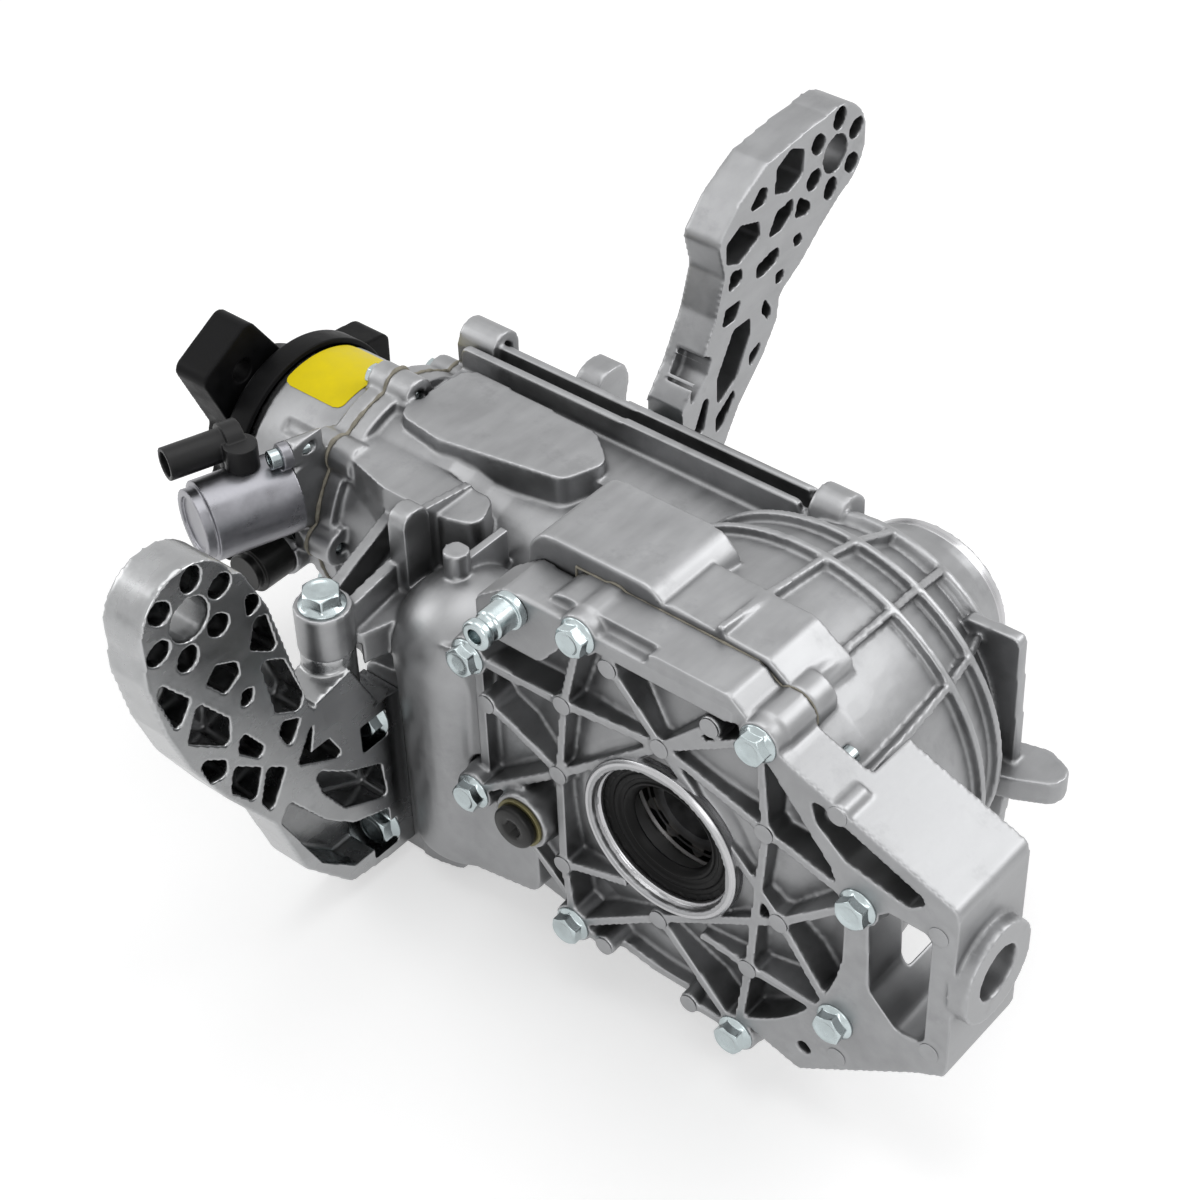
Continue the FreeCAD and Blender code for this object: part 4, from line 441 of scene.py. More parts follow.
def mixed(tree, factor, first, second, blend="MIX"):
    """A colour mix on sockets or colours."""
    node = tree.nodes.new("ShaderNodeMix")
    node.data_type = "RGBA"
    node.blend_type = blend
    if isinstance(factor, (int, float)):
        node.inputs["Factor"].default_value = factor
    else:
        tree.links.new(factor, node.inputs["Factor"])
    for socket, value in ((node.inputs[6], first), (node.inputs[7], second)):
        if isinstance(value, (tuple, list)):
            socket.default_value = (*value[:3], 1.0)
        else:
            tree.links.new(value, socket)
    return node.outputs[2]


def vector_maths(tree, operation, first, second=None):
    """A Vector Math node on one or two vector sockets."""
    node = tree.nodes.new("ShaderNodeVectorMath")
    node.operation = operation
    tree.links.new(first, node.inputs[0])
    if second is not None:
        tree.links.new(second, node.inputs[1])
    return node


def object_coordinates(group):
    """The vector of a point in the frame of its piece."""
    return group.nodes.new("ShaderNodeTexCoord").outputs["Object"]


def scaled_coordinates(group, entry):
    """Object coordinates times the scale that the group is given."""
    scaled = vector_maths(group, "SCALE", object_coordinates(group))
    group.links.new(entry.outputs["Scale"], scaled.inputs["Scale"])
    return scaled.outputs["Vector"]


def blended(tree, first, second, share):
    """The sum of a share of the first value and the rest of the second."""
    return maths(tree, "ADD", maths(tree, "MULTIPLY", first, share),
                 maths(tree, "MULTIPLY", second, 1 - share))


def skin_group():
    """The skin of a casting: cloudy tone, flow streaks and grain, with masks of the edges, which the casting
    finish lightens as wear and painted highlight, and of the hollows, which it darkens as painted shade.

    Tone is a broad noise plus a noise stretched along one axis; height is a fine noise plus a
    coarse one; edge is the pointiness of the surface above its middle value, and hollow is
    the pointiness below it. Stain is a ragged noise cut off above its middle.
    """
    group, entry, exit_ = new_group("Casting skin", [("Scale", FLOAT, 1.0)], [
        ("Tone", FLOAT), ("Height", FLOAT), ("Edge", FLOAT), ("Hollow", FLOAT), ("Stain", FLOAT)])
    vector = scaled_coordinates(group, entry)
    stretch = group.nodes.new("ShaderNodeMapping")
    stretch.inputs["Scale"].default_value = (1.0, 0.25, 1.0)
    group.links.new(vector, stretch.inputs["Vector"])
    clouds = noise(group, vector, 22.0, 4.0, 0.6)
    streaks = noise(group, stretch.outputs["Vector"], 120.0, 3.0, 0.55)
    fine = noise(group, vector, 1400.0, 2.0, 0.6)
    coarse = noise(group, vector, 260.0, 3.0, 0.5)
    ragged = noise(group, vector, 45.0, 6.0, 0.7)
    point = group.nodes.new("ShaderNodeNewGeometry").outputs["Pointiness"]
    group.links.new(blended(group, clouds, streaks, 0.6), exit_.inputs["Tone"])
    group.links.new(blended(group, fine, coarse, 0.35), exit_.inputs["Height"])
    group.links.new(ranged(group, point, 0.51, 0.60), exit_.inputs["Edge"])
    group.links.new(ranged(group, point, 0.49, 0.42), exit_.inputs["Hollow"])
    group.links.new(ranged(group, ragged, 0.56, 0.70), exit_.inputs["Stain"])
    return group


def speckle_group():
    """Small scale unevenness of plated and moulded surfaces: a tone and a height."""
    group, entry, exit_ = new_group("Fine unevenness", [("Scale", FLOAT, 1.0)], [
        ("Tone", FLOAT), ("Height", FLOAT)])
    vector = scaled_coordinates(group, entry)
    group.links.new(noise(group, vector, 90.0, 3.0, 0.6), exit_.inputs["Tone"])
    group.links.new(noise(group, vector, 1600.0, 2.0, 0.5), exit_.inputs["Height"])
    return group


def turning_group():
    """Turning marks: noise read only along the distance from an axis and along it."""
    group, entry, exit_ = new_group("Turning marks", [("Centre", VECTOR, None), ("Across", VECTOR, None)],
                                    [("Tone", FLOAT), ("Height", FLOAT)])
    moved = vector_maths(group, "SUBTRACT", object_coordinates(group), entry.outputs["Centre"])
    flat = vector_maths(group, "MULTIPLY", moved.outputs["Vector"], entry.outputs["Across"])
    along = vector_maths(group, "SUBTRACT", moved.outputs["Vector"], flat.outputs["Vector"])
    both = group.nodes.new("ShaderNodeCombineXYZ")
    for part, label in ((flat, "X"), (along, "Y")):
        length = vector_maths(group, "LENGTH", part.outputs["Vector"])
        group.links.new(length.outputs["Value"], both.inputs[label])
    group.links.new(noise(group, both.outputs["Vector"], 700.0, 3.0, 0.7), exit_.inputs["Tone"])
    group.links.new(noise(group, both.outputs["Vector"], 3500.0, 2.0, 0.6), exit_.inputs["Height"])
    return group


def placed(tree, group, **values):
    """A group node in a material, with its input values."""
    node = tree.nodes.new("ShaderNodeGroup")
    node.node_tree = group
    for label, value in values.items():
        node.inputs[label].default_value = value
    return node


def bumped(tree, shader, height, strength, distance):
    """A Bump node on a shader's normal."""
    bump = tree.nodes.new("ShaderNodeBump")
    bump.inputs["Strength"].default_value = strength
    bump.inputs["Distance"].default_value = distance
    tree.links.new(height, bump.inputs["Height"])
    tree.links.new(bump.outputs["Normal"], shader.inputs["Normal"])


def shaded(colour, factor):
    """A colour made lighter or darker."""
    return tuple(min(1.0, c * factor) for c in colour)


def painted_pocket_shade(tree, colour):
    """A colour with painted shade in pockets: darker by the share of directions that near walls close off."""
    occlusion = tree.nodes.new("ShaderNodeAmbientOcclusion")
    occlusion.samples = 6
    occlusion.inputs["Distance"].default_value = PAINTED_SHADE_REACH
    shade = ranged(tree, occlusion.outputs["AO"], 0.2, 0.95, PAINTED_SHADE_DEEPEST, 1.0)
    grey = tree.nodes.new("ShaderNodeCombineColor")
    for channel in ("Red", "Green", "Blue"):
        tree.links.new(shade, grey.inputs[channel])
    return mixed(tree, 1.0, colour, grey.outputs["Color"], "MULTIPLY")


def casting_material(name, colour, roughness, spread, bump, group):
    """Die-cast aluminium: cloudy satin skin and stains, edges lightened as wear and painted highlight,
    painted shade in hollows and pockets.
    """
    material, tree, shader = new_material(name)
    skin = placed(tree, group, Scale=1.0)
    tone = ranged(tree, skin.outputs["Tone"], TONE_LOW, TONE_HIGH)
    layer = mixed(tree, tone, shaded(colour, 0.80), shaded(colour, 1.12))
    # Stain darkens as real stains; Edge lightens the rims as wear and painted highlight; Hollow darkens the
    # creases as painted shade
    for mask, share, factor in (("Stain", 0.30, 0.55), ("Edge", 0.55, 1.7), ("Hollow", 0.55, 0.38)):
        cover = maths(tree, "MULTIPLY", skin.outputs[mask], share)
        layer = mixed(tree, cover, layer, shaded(colour, factor))
    # the layered colour is darkened in pockets as painted shade
    tree.links.new(painted_pocket_shade(tree, layer), shader.inputs["Base Color"])
    rough = ranged(tree, skin.outputs["Tone"], TONE_LOW, TONE_HIGH, roughness - spread, roughness + spread)
    tree.links.new(maths(tree, "ADD", rough, maths(tree, "MULTIPLY", skin.outputs["Hollow"], 0.2)),
                   shader.inputs["Roughness"])
    shader.inputs["Metallic"].default_value = 1.0
    bumped(tree, shader, skin.outputs["Height"], 0.35, bump)
    return material


def plated_material(name, group, colour, roughness, variation, bump, metallic=1.0, scale=1.0, coat=0.0,
                    gloss=0.5):
    """A plated, painted or moulded finish with uneven tone and a fine texture."""
    material, tree, shader = new_material(name)
    fine = placed(tree, group, Scale=scale)
    tone = ranged(tree, fine.outputs["Tone"], TONE_LOW, TONE_HIGH)
    tree.links.new(mixed(tree, tone, shaded(colour, 1 - variation), shaded(colour, 1 + variation)),
                   shader.inputs["Base Color"])
    tree.links.new(ranged(tree, fine.outputs["Tone"], TONE_LOW, TONE_HIGH, roughness * 0.8, roughness * 1.25),
                   shader.inputs["Roughness"])
    shader.inputs["Metallic"].default_value = metallic
    shader.inputs["Specular IOR Level"].default_value = gloss
    if coat > 0:
        shader.inputs["Coat Weight"].default_value = coat
        shader.inputs["Coat Roughness"].default_value = 0.25
    bumped(tree, shader, fine.outputs["Height"], 0.4, bump)
    return material


def turned_material(name, group, colour, roughness, centre, across):
    """A machined metal with turning marks about an axis."""
    material, tree, shader = new_material(name)
    marks = placed(tree, group, Centre=centre, Across=across)
    tone = ranged(tree, marks.outputs["Tone"], TONE_LOW, TONE_HIGH)
    tree.links.new(mixed(tree, tone, shaded(colour, 0.75), shaded(colour, 1.15)), shader.inputs["Base Color"])
    tree.links.new(ranged(tree, marks.outputs["Tone"], TONE_LOW, TONE_HIGH, roughness * 0.8, roughness * 1.3),
                   shader.inputs["Roughness"])
    shader.inputs["Metallic"].default_value = 1.0
    bumped(tree, shader, marks.outputs["Height"], 0.3, 0.00008)
    return material


# The name and the values of each finish, by its slot

PLATED_FINISHES = {
    "turned_aluminium": ("Plated actuator barrel", dict(
        colour=(0.27, 0.27, 0.29), roughness=0.33, variation=0.12, bump=0.00003)),
    # bearing steel darkened far below its own colour as painted shade for the bearings inside the bores; the
    # coat is its oil film
    "bearing_steel": ("Oiled bearing steel darkened as painted shade", dict(
        colour=(0.17, 0.165, 0.16), roughness=0.34, variation=0.2, bump=0.00003, coat=0.3)),
    "gear_steel": ("Gear steel", dict(
        colour=(0.34, 0.34, 0.36), roughness=0.3, variation=0.18, bump=0.00004, coat=0.3)),
    "case_iron": ("Oiled cast iron", dict(
        colour=(0.20, 0.20, 0.205), roughness=0.5, variation=0.25, bump=0.0002, coat=0.2)),
    "olive_washer": ("Olive coated washer", dict(
        colour=(0.19, 0.17, 0.075), roughness=0.42, variation=0.2, bump=0.00004, metallic=0.4)),
    "black_steel": ("Black coated steel", dict(
        colour=(0.005, 0.005, 0.0054), roughness=0.46, variation=0.3, bump=0.00015, metallic=0.0, gloss=0.1)),
    "dark_plug_steel": ("Dark plug steel", dict(
        colour=(0.010, 0.010, 0.0095), roughness=0.36, variation=0.25, bump=0.00005, metallic=0.0,
        gloss=0.3)),
    "black_plastic": ("Black moulded plastic", dict(
        colour=(0.007, 0.007, 0.0075), roughness=0.40, variation=0.25, bump=0.0001, metallic=0.0, gloss=0.3)),
    "seal_rubber": ("Seal rubber", dict(
        colour=(0.003, 0.003, 0.003), roughness=0.36, variation=0.3, bump=0.00006, metallic=0.0, gloss=0.12)),
    "joint_sealant": ("Cured sealant", dict(
        colour=(0.27, 0.25, 0.20), roughness=0.7, variation=0.3, bump=0.0003, metallic=0.0, scale=3.0)),
    "friction_lining": ("Paper friction lining", dict(
        colour=(0.13, 0.085, 0.05), roughness=0.85, variation=0.25, bump=0.0002, metallic=0.0, scale=2.0)),
}
STEEL = (0.56, 0.56, 0.57)
ACROSS_INPUT = (0, 1, 1)
ACROSS_OUTPUT = (1, 0, 1)
TURNED_FINISHES = {
    "machined_steel": ("Ground steel on the input axis", dict(
        colour=STEEL, roughness=0.24, centre=(0, 0.11, 0), across=ACROSS_INPUT)),
    "cross_steel": ("Ground steel on the output axis", dict(
        colour=STEEL, roughness=0.24, centre=(0, 0, 0), across=ACROSS_OUTPUT)),
    "machined_aluminium": ("Machined aluminium", dict(
        colour=(0.50, 0.50, 0.51), roughness=0.26, centre=(0, 0, 0), across=ACROSS_OUTPUT)),
}
MATERIALS = {}


def make_materials(scene):
    """Builds every finish once."""
    casting = scene.casting_settings
    skin = skin_group()
    speckle = speckle_group()
    turning = turning_group()
    MATERIALS["cast_aluminium"] = casting_material(
        "Die-cast aluminium", casting.colour, casting.roughness, 0.10, 0.00012, skin)
    MATERIALS["polished_aluminium"] = casting_material(
        "Bright die-cast aluminium", casting.bright_colour, casting.roughness * 0.62, 0.08, 0.0001, skin)
    MATERIALS["zinc_steel"] = plated_material(
        "Zinc plated steel", speckle, scene.fastener_settings.colour, 0.24, 0.12, 0.00004)
    MATERIALS["label"] = plated_material(
        "Glossy blank label", speckle, scene.sticker_settings.colour, 0.45, 0.04, 0.00002,
        metallic=0.0, gloss=0.25)
    for slot, (name, values) in PLATED_FINISHES.items():
        MATERIALS[slot] = plated_material(name, speckle, **values)
    for slot, (name, values) in TURNED_FINISHES.items():
        MATERIALS[slot] = turned_material(name, turning, **values)


# Pieces

CASTINGS = {
    "main_housing": "cast_aluminium",
    "side_cover": "cast_aluminium",
    "clutch_cover": "cast_aluminium",
    "left_mount_arm": "polished_aluminium",
    "right_mount_arm": "cast_aluminium",
}
ROUND_CASTINGS = ("main_housing", "clutch_cover")
OUTPUT_SIDE = ("left_carrier", "right_carrier", "side_cover_dowels", "cross_pin")


class DIFFERENTIAL_OT_finishes(bpy.types.Operator):
    """Build the finishes and give every CAD node its own"""
    bl_idname = "differential.finishes"
    bl_label = "Finishes"

    def execute(self, context):
        make_materials(context.scene)
        for name, node in NODES.items():
            finish = SLOT_OF[name]
            if name.startswith(OUTPUT_SIDE) and finish == "machined_steel":
                finish = "cross_steel"
            # bearings and cups take the steel darkened as painted shade
            if name.endswith(("_bearing", "_cup")) or name.startswith("input_bearing"):
                finish = "bearing_steel"
            node.data.materials.clear()
            node.data.materials.append(MATERIALS[finish])
        return {"FINISHED"}


class DIFFERENTIAL_OT_castings(bpy.types.Operator):
    """Round the edges of the aluminium castings"""
    bl_idname = "differential.castings"
    bl_label = "Castings"

    def execute(self, context):
        settings = context.scene.casting_settings
        voxel = settings.voxel * 1.0
        for node, finish in CASTINGS.items():
            passes = settings.smoothing * (settings.softness if node in ROUND_CASTINGS else 1)
            mesh = rounded_copy(node, voxel, passes, settings.triangles)
            mesh.name = node + "_casting"
            add_piece(node + "_casting", mesh, MATERIALS[finish], replaced=[node])
        return {"FINISHED"}


FINE_PARTS = {                  # body and coarseness of the remesh
    "actuator_housing": ("unit", 1.0),
    "actuator_connector": ("unit", 1.0),
    "pressure_sensor": ("unit", 1.0),
    "input_flange": ("input_rotor", 2.0),
    "actuator_screw": ("unit", 0.6),
}


class DIFFERENTIAL_OT_fine_parts(bpy.types.Operator):
    """Round the edges of the actuator, its plug socket, the sensor and the input flange"""
    bl_idname = "differential.fine_parts"
    bl_label = "Fine parts"

    def execute(self, context):
        settings = context.scene.casting_settings
        for node, (body, coarseness) in FINE_PARTS.items():
            voxel = settings.fine_voxel * coarseness
            mesh = rounded_copy(node, voxel, settings.smoothing, settings.triangles)
            mesh.name = node + "_rounded"
            slot = SLOT_OF[node]
            add_piece(node + "_rounded", mesh, MATERIALS[slot], body, [node])
        return {"FINISHED"}


def surface_piece(name, parts, finish, body="unit", replaced=()):
    """A piece made of closed surfaces, with its faces turned outwards."""
    mesh = mesh_of(name, *stacked(parts))
    outward(mesh)
    return add_piece(name, mesh, MATERIALS[finish], body, replaced)


def finished(name, parts, node, body="unit"):
    """A piece that takes the place of a node and has its finish."""
    return surface_piece(name, parts, SLOT_OF[node], body, [node])


def hex_bolt(axis, seat, centre, size, sense, turn, steps, dish):
    """Points and quads of the head of a hex flange bolt, in mm.

    Rows run from the middle of the top to the seat. Above the flange the radius at an angle
    is the smaller of the row's own and the hexagon's, which cuts the round chamfer on its
    corners; over the flange it is the larger of the two.
    """
    head = 0.85 * size
    across = (1.6 if size > 8 else 1.62) * size
    flat = across / 2
    washer = 1.08 * size
    dished = dish / MM
    chamfer = flat * np.linspace(0.94, 1.16, 8)
    top = head - (chamfer - chamfer[0]) * 0.6
    rows = [(0.0, head - dished, 0), (0.5 * flat, head - dished, 0), (0.66 * flat, head - 0.9 * dished, 0),
            (0.76 * flat, head - 0.1 * dished, 0), (0.80 * flat, head, 0), (0.91 * flat, head, 0)]
    rows += [(r, z, 0) for r, z in zip(chamfer, top)]
    rows += [(1.16 * flat, 0.5 * head, 0), (1.16 * flat, 0.36 * size, 0), (0.98 * flat, 0.33 * size, 1),
             (1.02 * flat, 0.30 * size, 1), (1.10 * flat, 0.27 * size, 1), (0.93 * washer, 0.14 * size, 1),
             (0.985 * washer, 0.11 * size, 1), (washer, 0.08 * size, 1), (washer, 0.02 * size, 1),
             (0.99 * washer, 0.0, 1)]
    table = np.array(rows)
    own = table[:, :1]
    hexagon = hex_radius(full_turn(steps) - turn, across)
    radius = np.where(table[:, 2:] == 0, np.minimum(own, hexagon), np.maximum(own, hexagon))
    radius = np.where((table[:, 2:] == 1) & (own > 1.1 * flat), own, radius)
    return wrapped(axis, seat - sense * table[:, 1:2], radius, centre)


def bolt_piece(scene, name, node, bolts):
    """One piece from the heads and shanks of a group of bolts.

    A bolt is (axis, seat, centre, size, length, sense); the shank is a turned surface of forty
    rings, and past 0.35 of its length every other ring is smaller by the depth of the thread.
    """
    settings = scene.fastener_settings
    rings = 40
    parts = []
    for i, (axis, seat, centre, size, length, sense) in enumerate(bolts):
        turn = math.radians((i * 37) % 60)
        parts.append(hex_bolt(axis, seat, centre, size, sense, turn, settings.steps, settings.dish))
        along = np.linspace(0.0, length, rings)
        depth = 0.22 * (along > length * 0.35) * (np.arange(rings) % 2)
        radius = size / 2 - depth
        radius[-1] = 0.0
        shank = np.stack([seat + sense * along, radius], axis=1)
        parts.append(turned(axis, shank, centre, 32))
    return surface_piece(name, parts, "zinc_steel", replaced=[node])


class DIFFERENTIAL_OT_bolts(bpy.types.Operator):
    """Make the flange bolts of the covers and the arms"""
    bl_idname = "differential.bolts"
    bl_label = "Bolts"

    def execute(self, context):
        scene = context.scene
        cover = [("Y", COVER_BOLT_SEAT, centre, 8.0, 38.0, 1) for centre in COVER_BOLTS]
        bolt_piece(scene, "side_cover_hex_bolts", "side_cover_bolts", cover)
        screws = []
        for angle in CLUTCH_SCREW_ANGLES:
            centre = (INPUT_AXIS[0] + CLUTCH_SCREW_CIRCLE * math.cos(angle),
                      INPUT_AXIS[1] + CLUTCH_SCREW_CIRCLE * math.sin(angle))
            screws.append(("X", CLUTCH_SCREW_SEAT, centre, 6.0, 24.0, 1))
        bolt_piece(scene, "clutch_cover_hex_screws", "clutch_cover_screws", screws)
        left = [("Y", 10.0, (-174, -36), 10.0, 30.0, 1), ("Y", 10.0, (-174, -104), 10.0, 30.0, 1),
                ("Z", 37.0, (-180, -6), 10.0, 34.0, -1)]
        bolt_piece(scene, "left_arm_hex_bolts", "left_arm_bolts", left)
        right = [("Y", 208.0, centre, 10.0, 30.0, -1) for centre in ((-176, -58), (-176, 4), (-176, -27))]
        bolt_piece(scene, "right_arm_hex_bolts", "right_arm_bolts", right)
        return {"FINISHED"}


def socket_plug(seat, centre, sense, steps):
    """Points and quads of a screw plug with a hex socket, along Y, in mm.

    Rows run from the middle of the socket's floor, up its six walls, over the head and down
    the thread. A row is (radius, height, mark): where the mark is 1 the radius is a share of the
    hexagon's, which is 7 mm across flats, and the others are round.
    """
    table = np.array([
        (0.0, -4.0, 0), (0.6, -4.0, 1), (1.0, -3.9, 1), (1.0, 4.0, 1), (5.6, 4.5, 0), (6.0, 4.5, 0),
        (9.4, 4.5, 0), (10.1, 4.1, 0), (10.5, 3.4, 0), (10.5, 0.3, 0), (10.2, 0.0, 0), (8.0, 0.0, 0),
        (8.0, -12.0, 0), (0.0, -12.0, 0)])
    hexagon = hex_radius(full_turn(steps), 7.0)
    radius = np.where(table[:, 2:] == 1, table[:, :1] * hexagon, table[:, :1])
    return wrapped("Y", seat - sense * table[:, 1:2], radius, centre)


def flange_nut_shape(steps):
    """Points and quads of the input flange nut with its washer face, along X, in mm.

    A row is (radius, distance, mark): where the mark is 1 the radius is the smaller of its own
    and the hexagon's, which chamfers the corners.
    """
    table = np.array([
        (10.0, 11.0, 0), (10.0, 0.5, 0), (10.6, 0.0, 0), (14.2, 0.0, 1), (15.6, 0.5, 1), (17.0, 1.5, 1),
        (17.0, 8.6, 1), (17.9, 9.0, 0), (18.4, 9.3, 0), (18.5, 9.7, 0), (18.5, 10.8, 0), (18.2, 11.0, 0),
        (10.0, 11.0, 0)])
    hexagon = hex_radius(full_turn(steps) - math.radians(5), 29.44)
    radius = np.where(table[:, 2:] == 1, np.minimum(table[:, :1], hexagon), table[:, :1])
    return wrapped("X", FLANGE_NUT_X + table[:, 1:2], radius, INPUT_AXIS)


def seal_shape(face, sense, steps):
    """Points and quads of an output shaft seal, along Y, in mm.

    The profile is turned about the axis: a flat outer band, a groove, a step and a flared
    dust lip. On the outer band the depth is lessened by 0.35 mm times the eighth power of
    the cosine of 12 times the angle, which raises 24 small nibs.
    """
    profile = softened([
        (6.0, 33.9), (0.2, 33.9), (0.0, 33.2), (0.0, 31.2), (0.7, 30.6), (1.2, 29.2), (0.4, 28.4),
        (0.4, 26.6), (1.3, 25.6), (1.5, 24.2), (0.7, 23.6), (1.0, 22.6), (2.6, 21.0), (4.0, 20.05),
        (4.5, 20.6), (5.3, 21.6), (5.2, 24.4), (2.2, 27.0), (6.0, 31.5), (6.0, 33.9)], 0.5)
    band = (profile[:, 1:] > 31.0) & (profile[:, 1:] < 33.4) & (profile[:, :1] < 0.1)
    depth = profile[:, :1] - np.where(band, 0.35 * np.cos(12 * full_turn(steps)) ** 8, 0.0)
    return wrapped("Y", face + sense * depth, profile[:, 1:] + 0 * depth, OUTPUT_AXIS)


def bead(axis, along, radius, centre, thickness):
    """A closed bead of sealant round a joint.

    The joint's outline is a radius for each angle about a centre. Round each of its points
    lies a circle of ten points in the plane of the axis and the radius, 0.2 mm inside the
    outline; its size is the thickness times 1 plus three sines of the angle, so the bead runs
    unevenly.
    """
    points_round = 10
    angle = full_turn(len(radius)).T
    around = full_turn(points_round)
    unevenness = 0.22 * np.sin(9 * angle + 1) + 0.18 * np.sin(23 * angle) + 0.15 * np.sin(61 * angle + 2)
    size = thickness * (1 + unevenness)
    reach = radius[:, None] - 0.2 + size * np.cos(around)
    points = place(axis, along + 0.8 * size * np.sin(around), centre[0] + reach * np.cos(angle),
                   centre[1] + reach * np.sin(angle))
    return points.reshape(-1, 3), grid_faces(len(radius), points_round, True, True)


def clutch_joint_outline(steps):
    """The outline of the clutch joint: a circle with a round lobe at each cover screw."""
    angle = full_turn(steps)[0]
    radius = np.full(steps, CLUTCH_JOINT_RADIUS)
    for lobe in CLUTCH_SCREW_ANGLES:
        side = CLUTCH_SCREW_CIRCLE * np.sin(angle - lobe)
        ahead = CLUTCH_SCREW_CIRCLE * np.cos(angle - lobe)
        reach = ahead + np.sqrt(np.clip(CLUTCH_LOBE ** 2 - side ** 2, 0, None))
        on_lobe = (np.abs(side) < CLUTCH_LOBE) & (ahead > 0)
        radius = np.where(on_lobe, np.maximum(radius, reach), radius)
    return radius


def inside_polygon(x, z, corners):
    """Whether points lie inside a convex outline that is listed clockwise or anticlockwise."""
    turns = []
    for (ax, az), (bx, bz) in zip(corners, corners[1:] + corners[:1]):
        turns.append((bx - ax) * (z - az) - (bz - az) * (x - ax))
    turns = np.array(turns)
    return (turns >= 0).all(axis=0) | (turns <= 0).all(axis=0)


def cover_joint_outline(steps):
    """The outline of the side cover joint.

    For each angle it is the farthest point, in steps of 0.2 mm, that lies inside a shape of the
    joint: the round case, the long lobe before it, two straight-sided shapes or a bolt boss.
    """
    angle = full_turn(steps).T
    radius = np.arange(70.0, 130.0, 0.2)[None, :]
    x = radius * np.cos(angle)
    z = radius * np.sin(angle)
    inside = radius < 96.0 + 0 * angle
    inside |= (x + 88) ** 2 + (z - np.clip(z, -38, 40)) ** 2 < 19.0 ** 2
    inside |= inside_polygon(x, z, [(-107, -38), (-107, 40), (-60, 92), (0, 96), (0, -94), (-50, -92)])
    inside |= inside_polygon(x, z, [(-62, 60), (-62, 97), (30, 97), (58, 80), (58, 60)])
    for u, v in COVER_BOLTS:
        inside |= (x - u) ** 2 + (z - v) ** 2 < 10.5 ** 2
    return np.where(inside, radius, 0.0).max(axis=1)


class DIFFERENTIAL_OT_fittings(bpy.types.Operator):
    """Make the machined rings, seals, plugs, washers, breather, dust ring and flange nut"""
    bl_idname = "differential.fittings"
    bl_label = "Fittings"

    def execute(self, context):
        steps = context.scene.fastener_settings.steps
        self.rings(2 * steps)
        self.discs(steps // 2)
        self.plug("fill_plug", -3.6, (-74, -33), 1, steps)
        self.plug("drain_plug", 93.6, (-20, -98), -1, steps)
        nipple = softened([
            (-13, 2.5), (-14, 3.5), (-20, 3.5), (-20, 6), (-19, 7), (-16, 7), (-15, 6), (-12, 6), (-11, 7),
            (-1, 7), (-1, 8.5), (3, 8.5), (3, 4), (18, 4), (18, 2.5), (-13, 2.5)], 0.7)
        finished("breather_pipe", [turned("Y", nipple, (-76, 84), steps)], "breather_nipple")
        shield = softened([
            (-320, 20), (-320, 46), (-314, 53), (-302, 53), (-302, 50), (-313, 50), (-317, 45), (-317, 20),
            (-320, 20)], 1.0)
        finished("dust_shield", [turned("X", shield, INPUT_AXIS, 2 * steps)], "dust_ring", "input_rotor")
        finished("flange_hex_nut", [flange_nut_shape(steps)], "flange_nut", "input_rotor")
        return {"FINISHED"}

    def plug(self, name, seat, centre, sense, steps):
        """A screw plug and the sealing washer under its head."""
        finished(name + "_head", [socket_plug(seat, centre, sense, steps)], name)
        top = seat + sense * 1.6
        washer = softened([(seat, 8.3), (seat, 12.0), (top, 12.0), (top, 8.3), (seat, 8.3)], 0.4)
        finished(name + "_ring", [turned("Y", washer, centre, steps)], name + "_washer")

    def rings(self, steps):
        """The machined lip rings of the two output bores, and the seals behind them."""
        for side, face, sense in (("left", LEFT_FACE, 1), ("right", RIGHT_FACE, -1)):
            profile = softened([
                (8.0, 33.3), (4.4, 33.5), (3.6, 34.5), (1.7, 35.1), (-0.12, 36.9), (-0.12, 38.2),
                (1.2, 39.5), (6.0, 39.6), (8.0, 33.9), (8.0, 33.3)], 0.4)
            profile[:, 0] = face + sense * profile[:, 0]
            ring = turned("Y", profile, OUTPUT_AXIS, steps)
            surface_piece(side + "_lip_ring", [ring], "machined_aluminium")
            seal = seal_shape(face + sense * SEAL_DEPTH, sense, 2 * steps)
            finished(side + "_lip_seal", [seal], side + "_output_seal")

    def discs(self, steps):
        """Flat round ejector marks on the crossings of the cover ribs."""
        profile = softened([(2.8, 0.0), (2.8, 4.5), (1.8, 4.4), (1.8, 0.0)], 0.2)
        discs = [turned("Y", profile, centre, steps) for centre in RIB_DISCS]
        surface_piece("cover_discs", discs, "cast_aluminium")


class DIFFERENTIAL_OT_sealant(bpy.types.Operator):
    """Run the squeezed-out sealant along the clutch joint and the cover joint"""
    bl_idname = "differential.sealant"
    bl_label = "Sealant"

    def execute(self, context):
        clutch = bead("X", CLUTCH_JOINT_X, clutch_joint_outline(900), INPUT_AXIS, 1.1)
        cover = bead("Y", COVER_JOINT_Y, cover_joint_outline(1440), OUTPUT_AXIS, 0.6)
        for name, shape in (("clutch_joint_bead", clutch), ("cover_joint_bead", cover)):
            surface_piece(name, [shape], "joint_sealant")
        return {"FINISHED"}


class DIFFERENTIAL_OT_label(bpy.types.Operator):
    """Lay the blank yellow label on the clutch cover"""
    bl_idname = "differential.label"
    bl_label = "Label"

    def execute(self, context):
        settings = context.scene.sticker_settings
        surface_piece("blank_label", label_faces(settings.radius / MM, settings.corner / MM), "label")
        return {"FINISHED"}


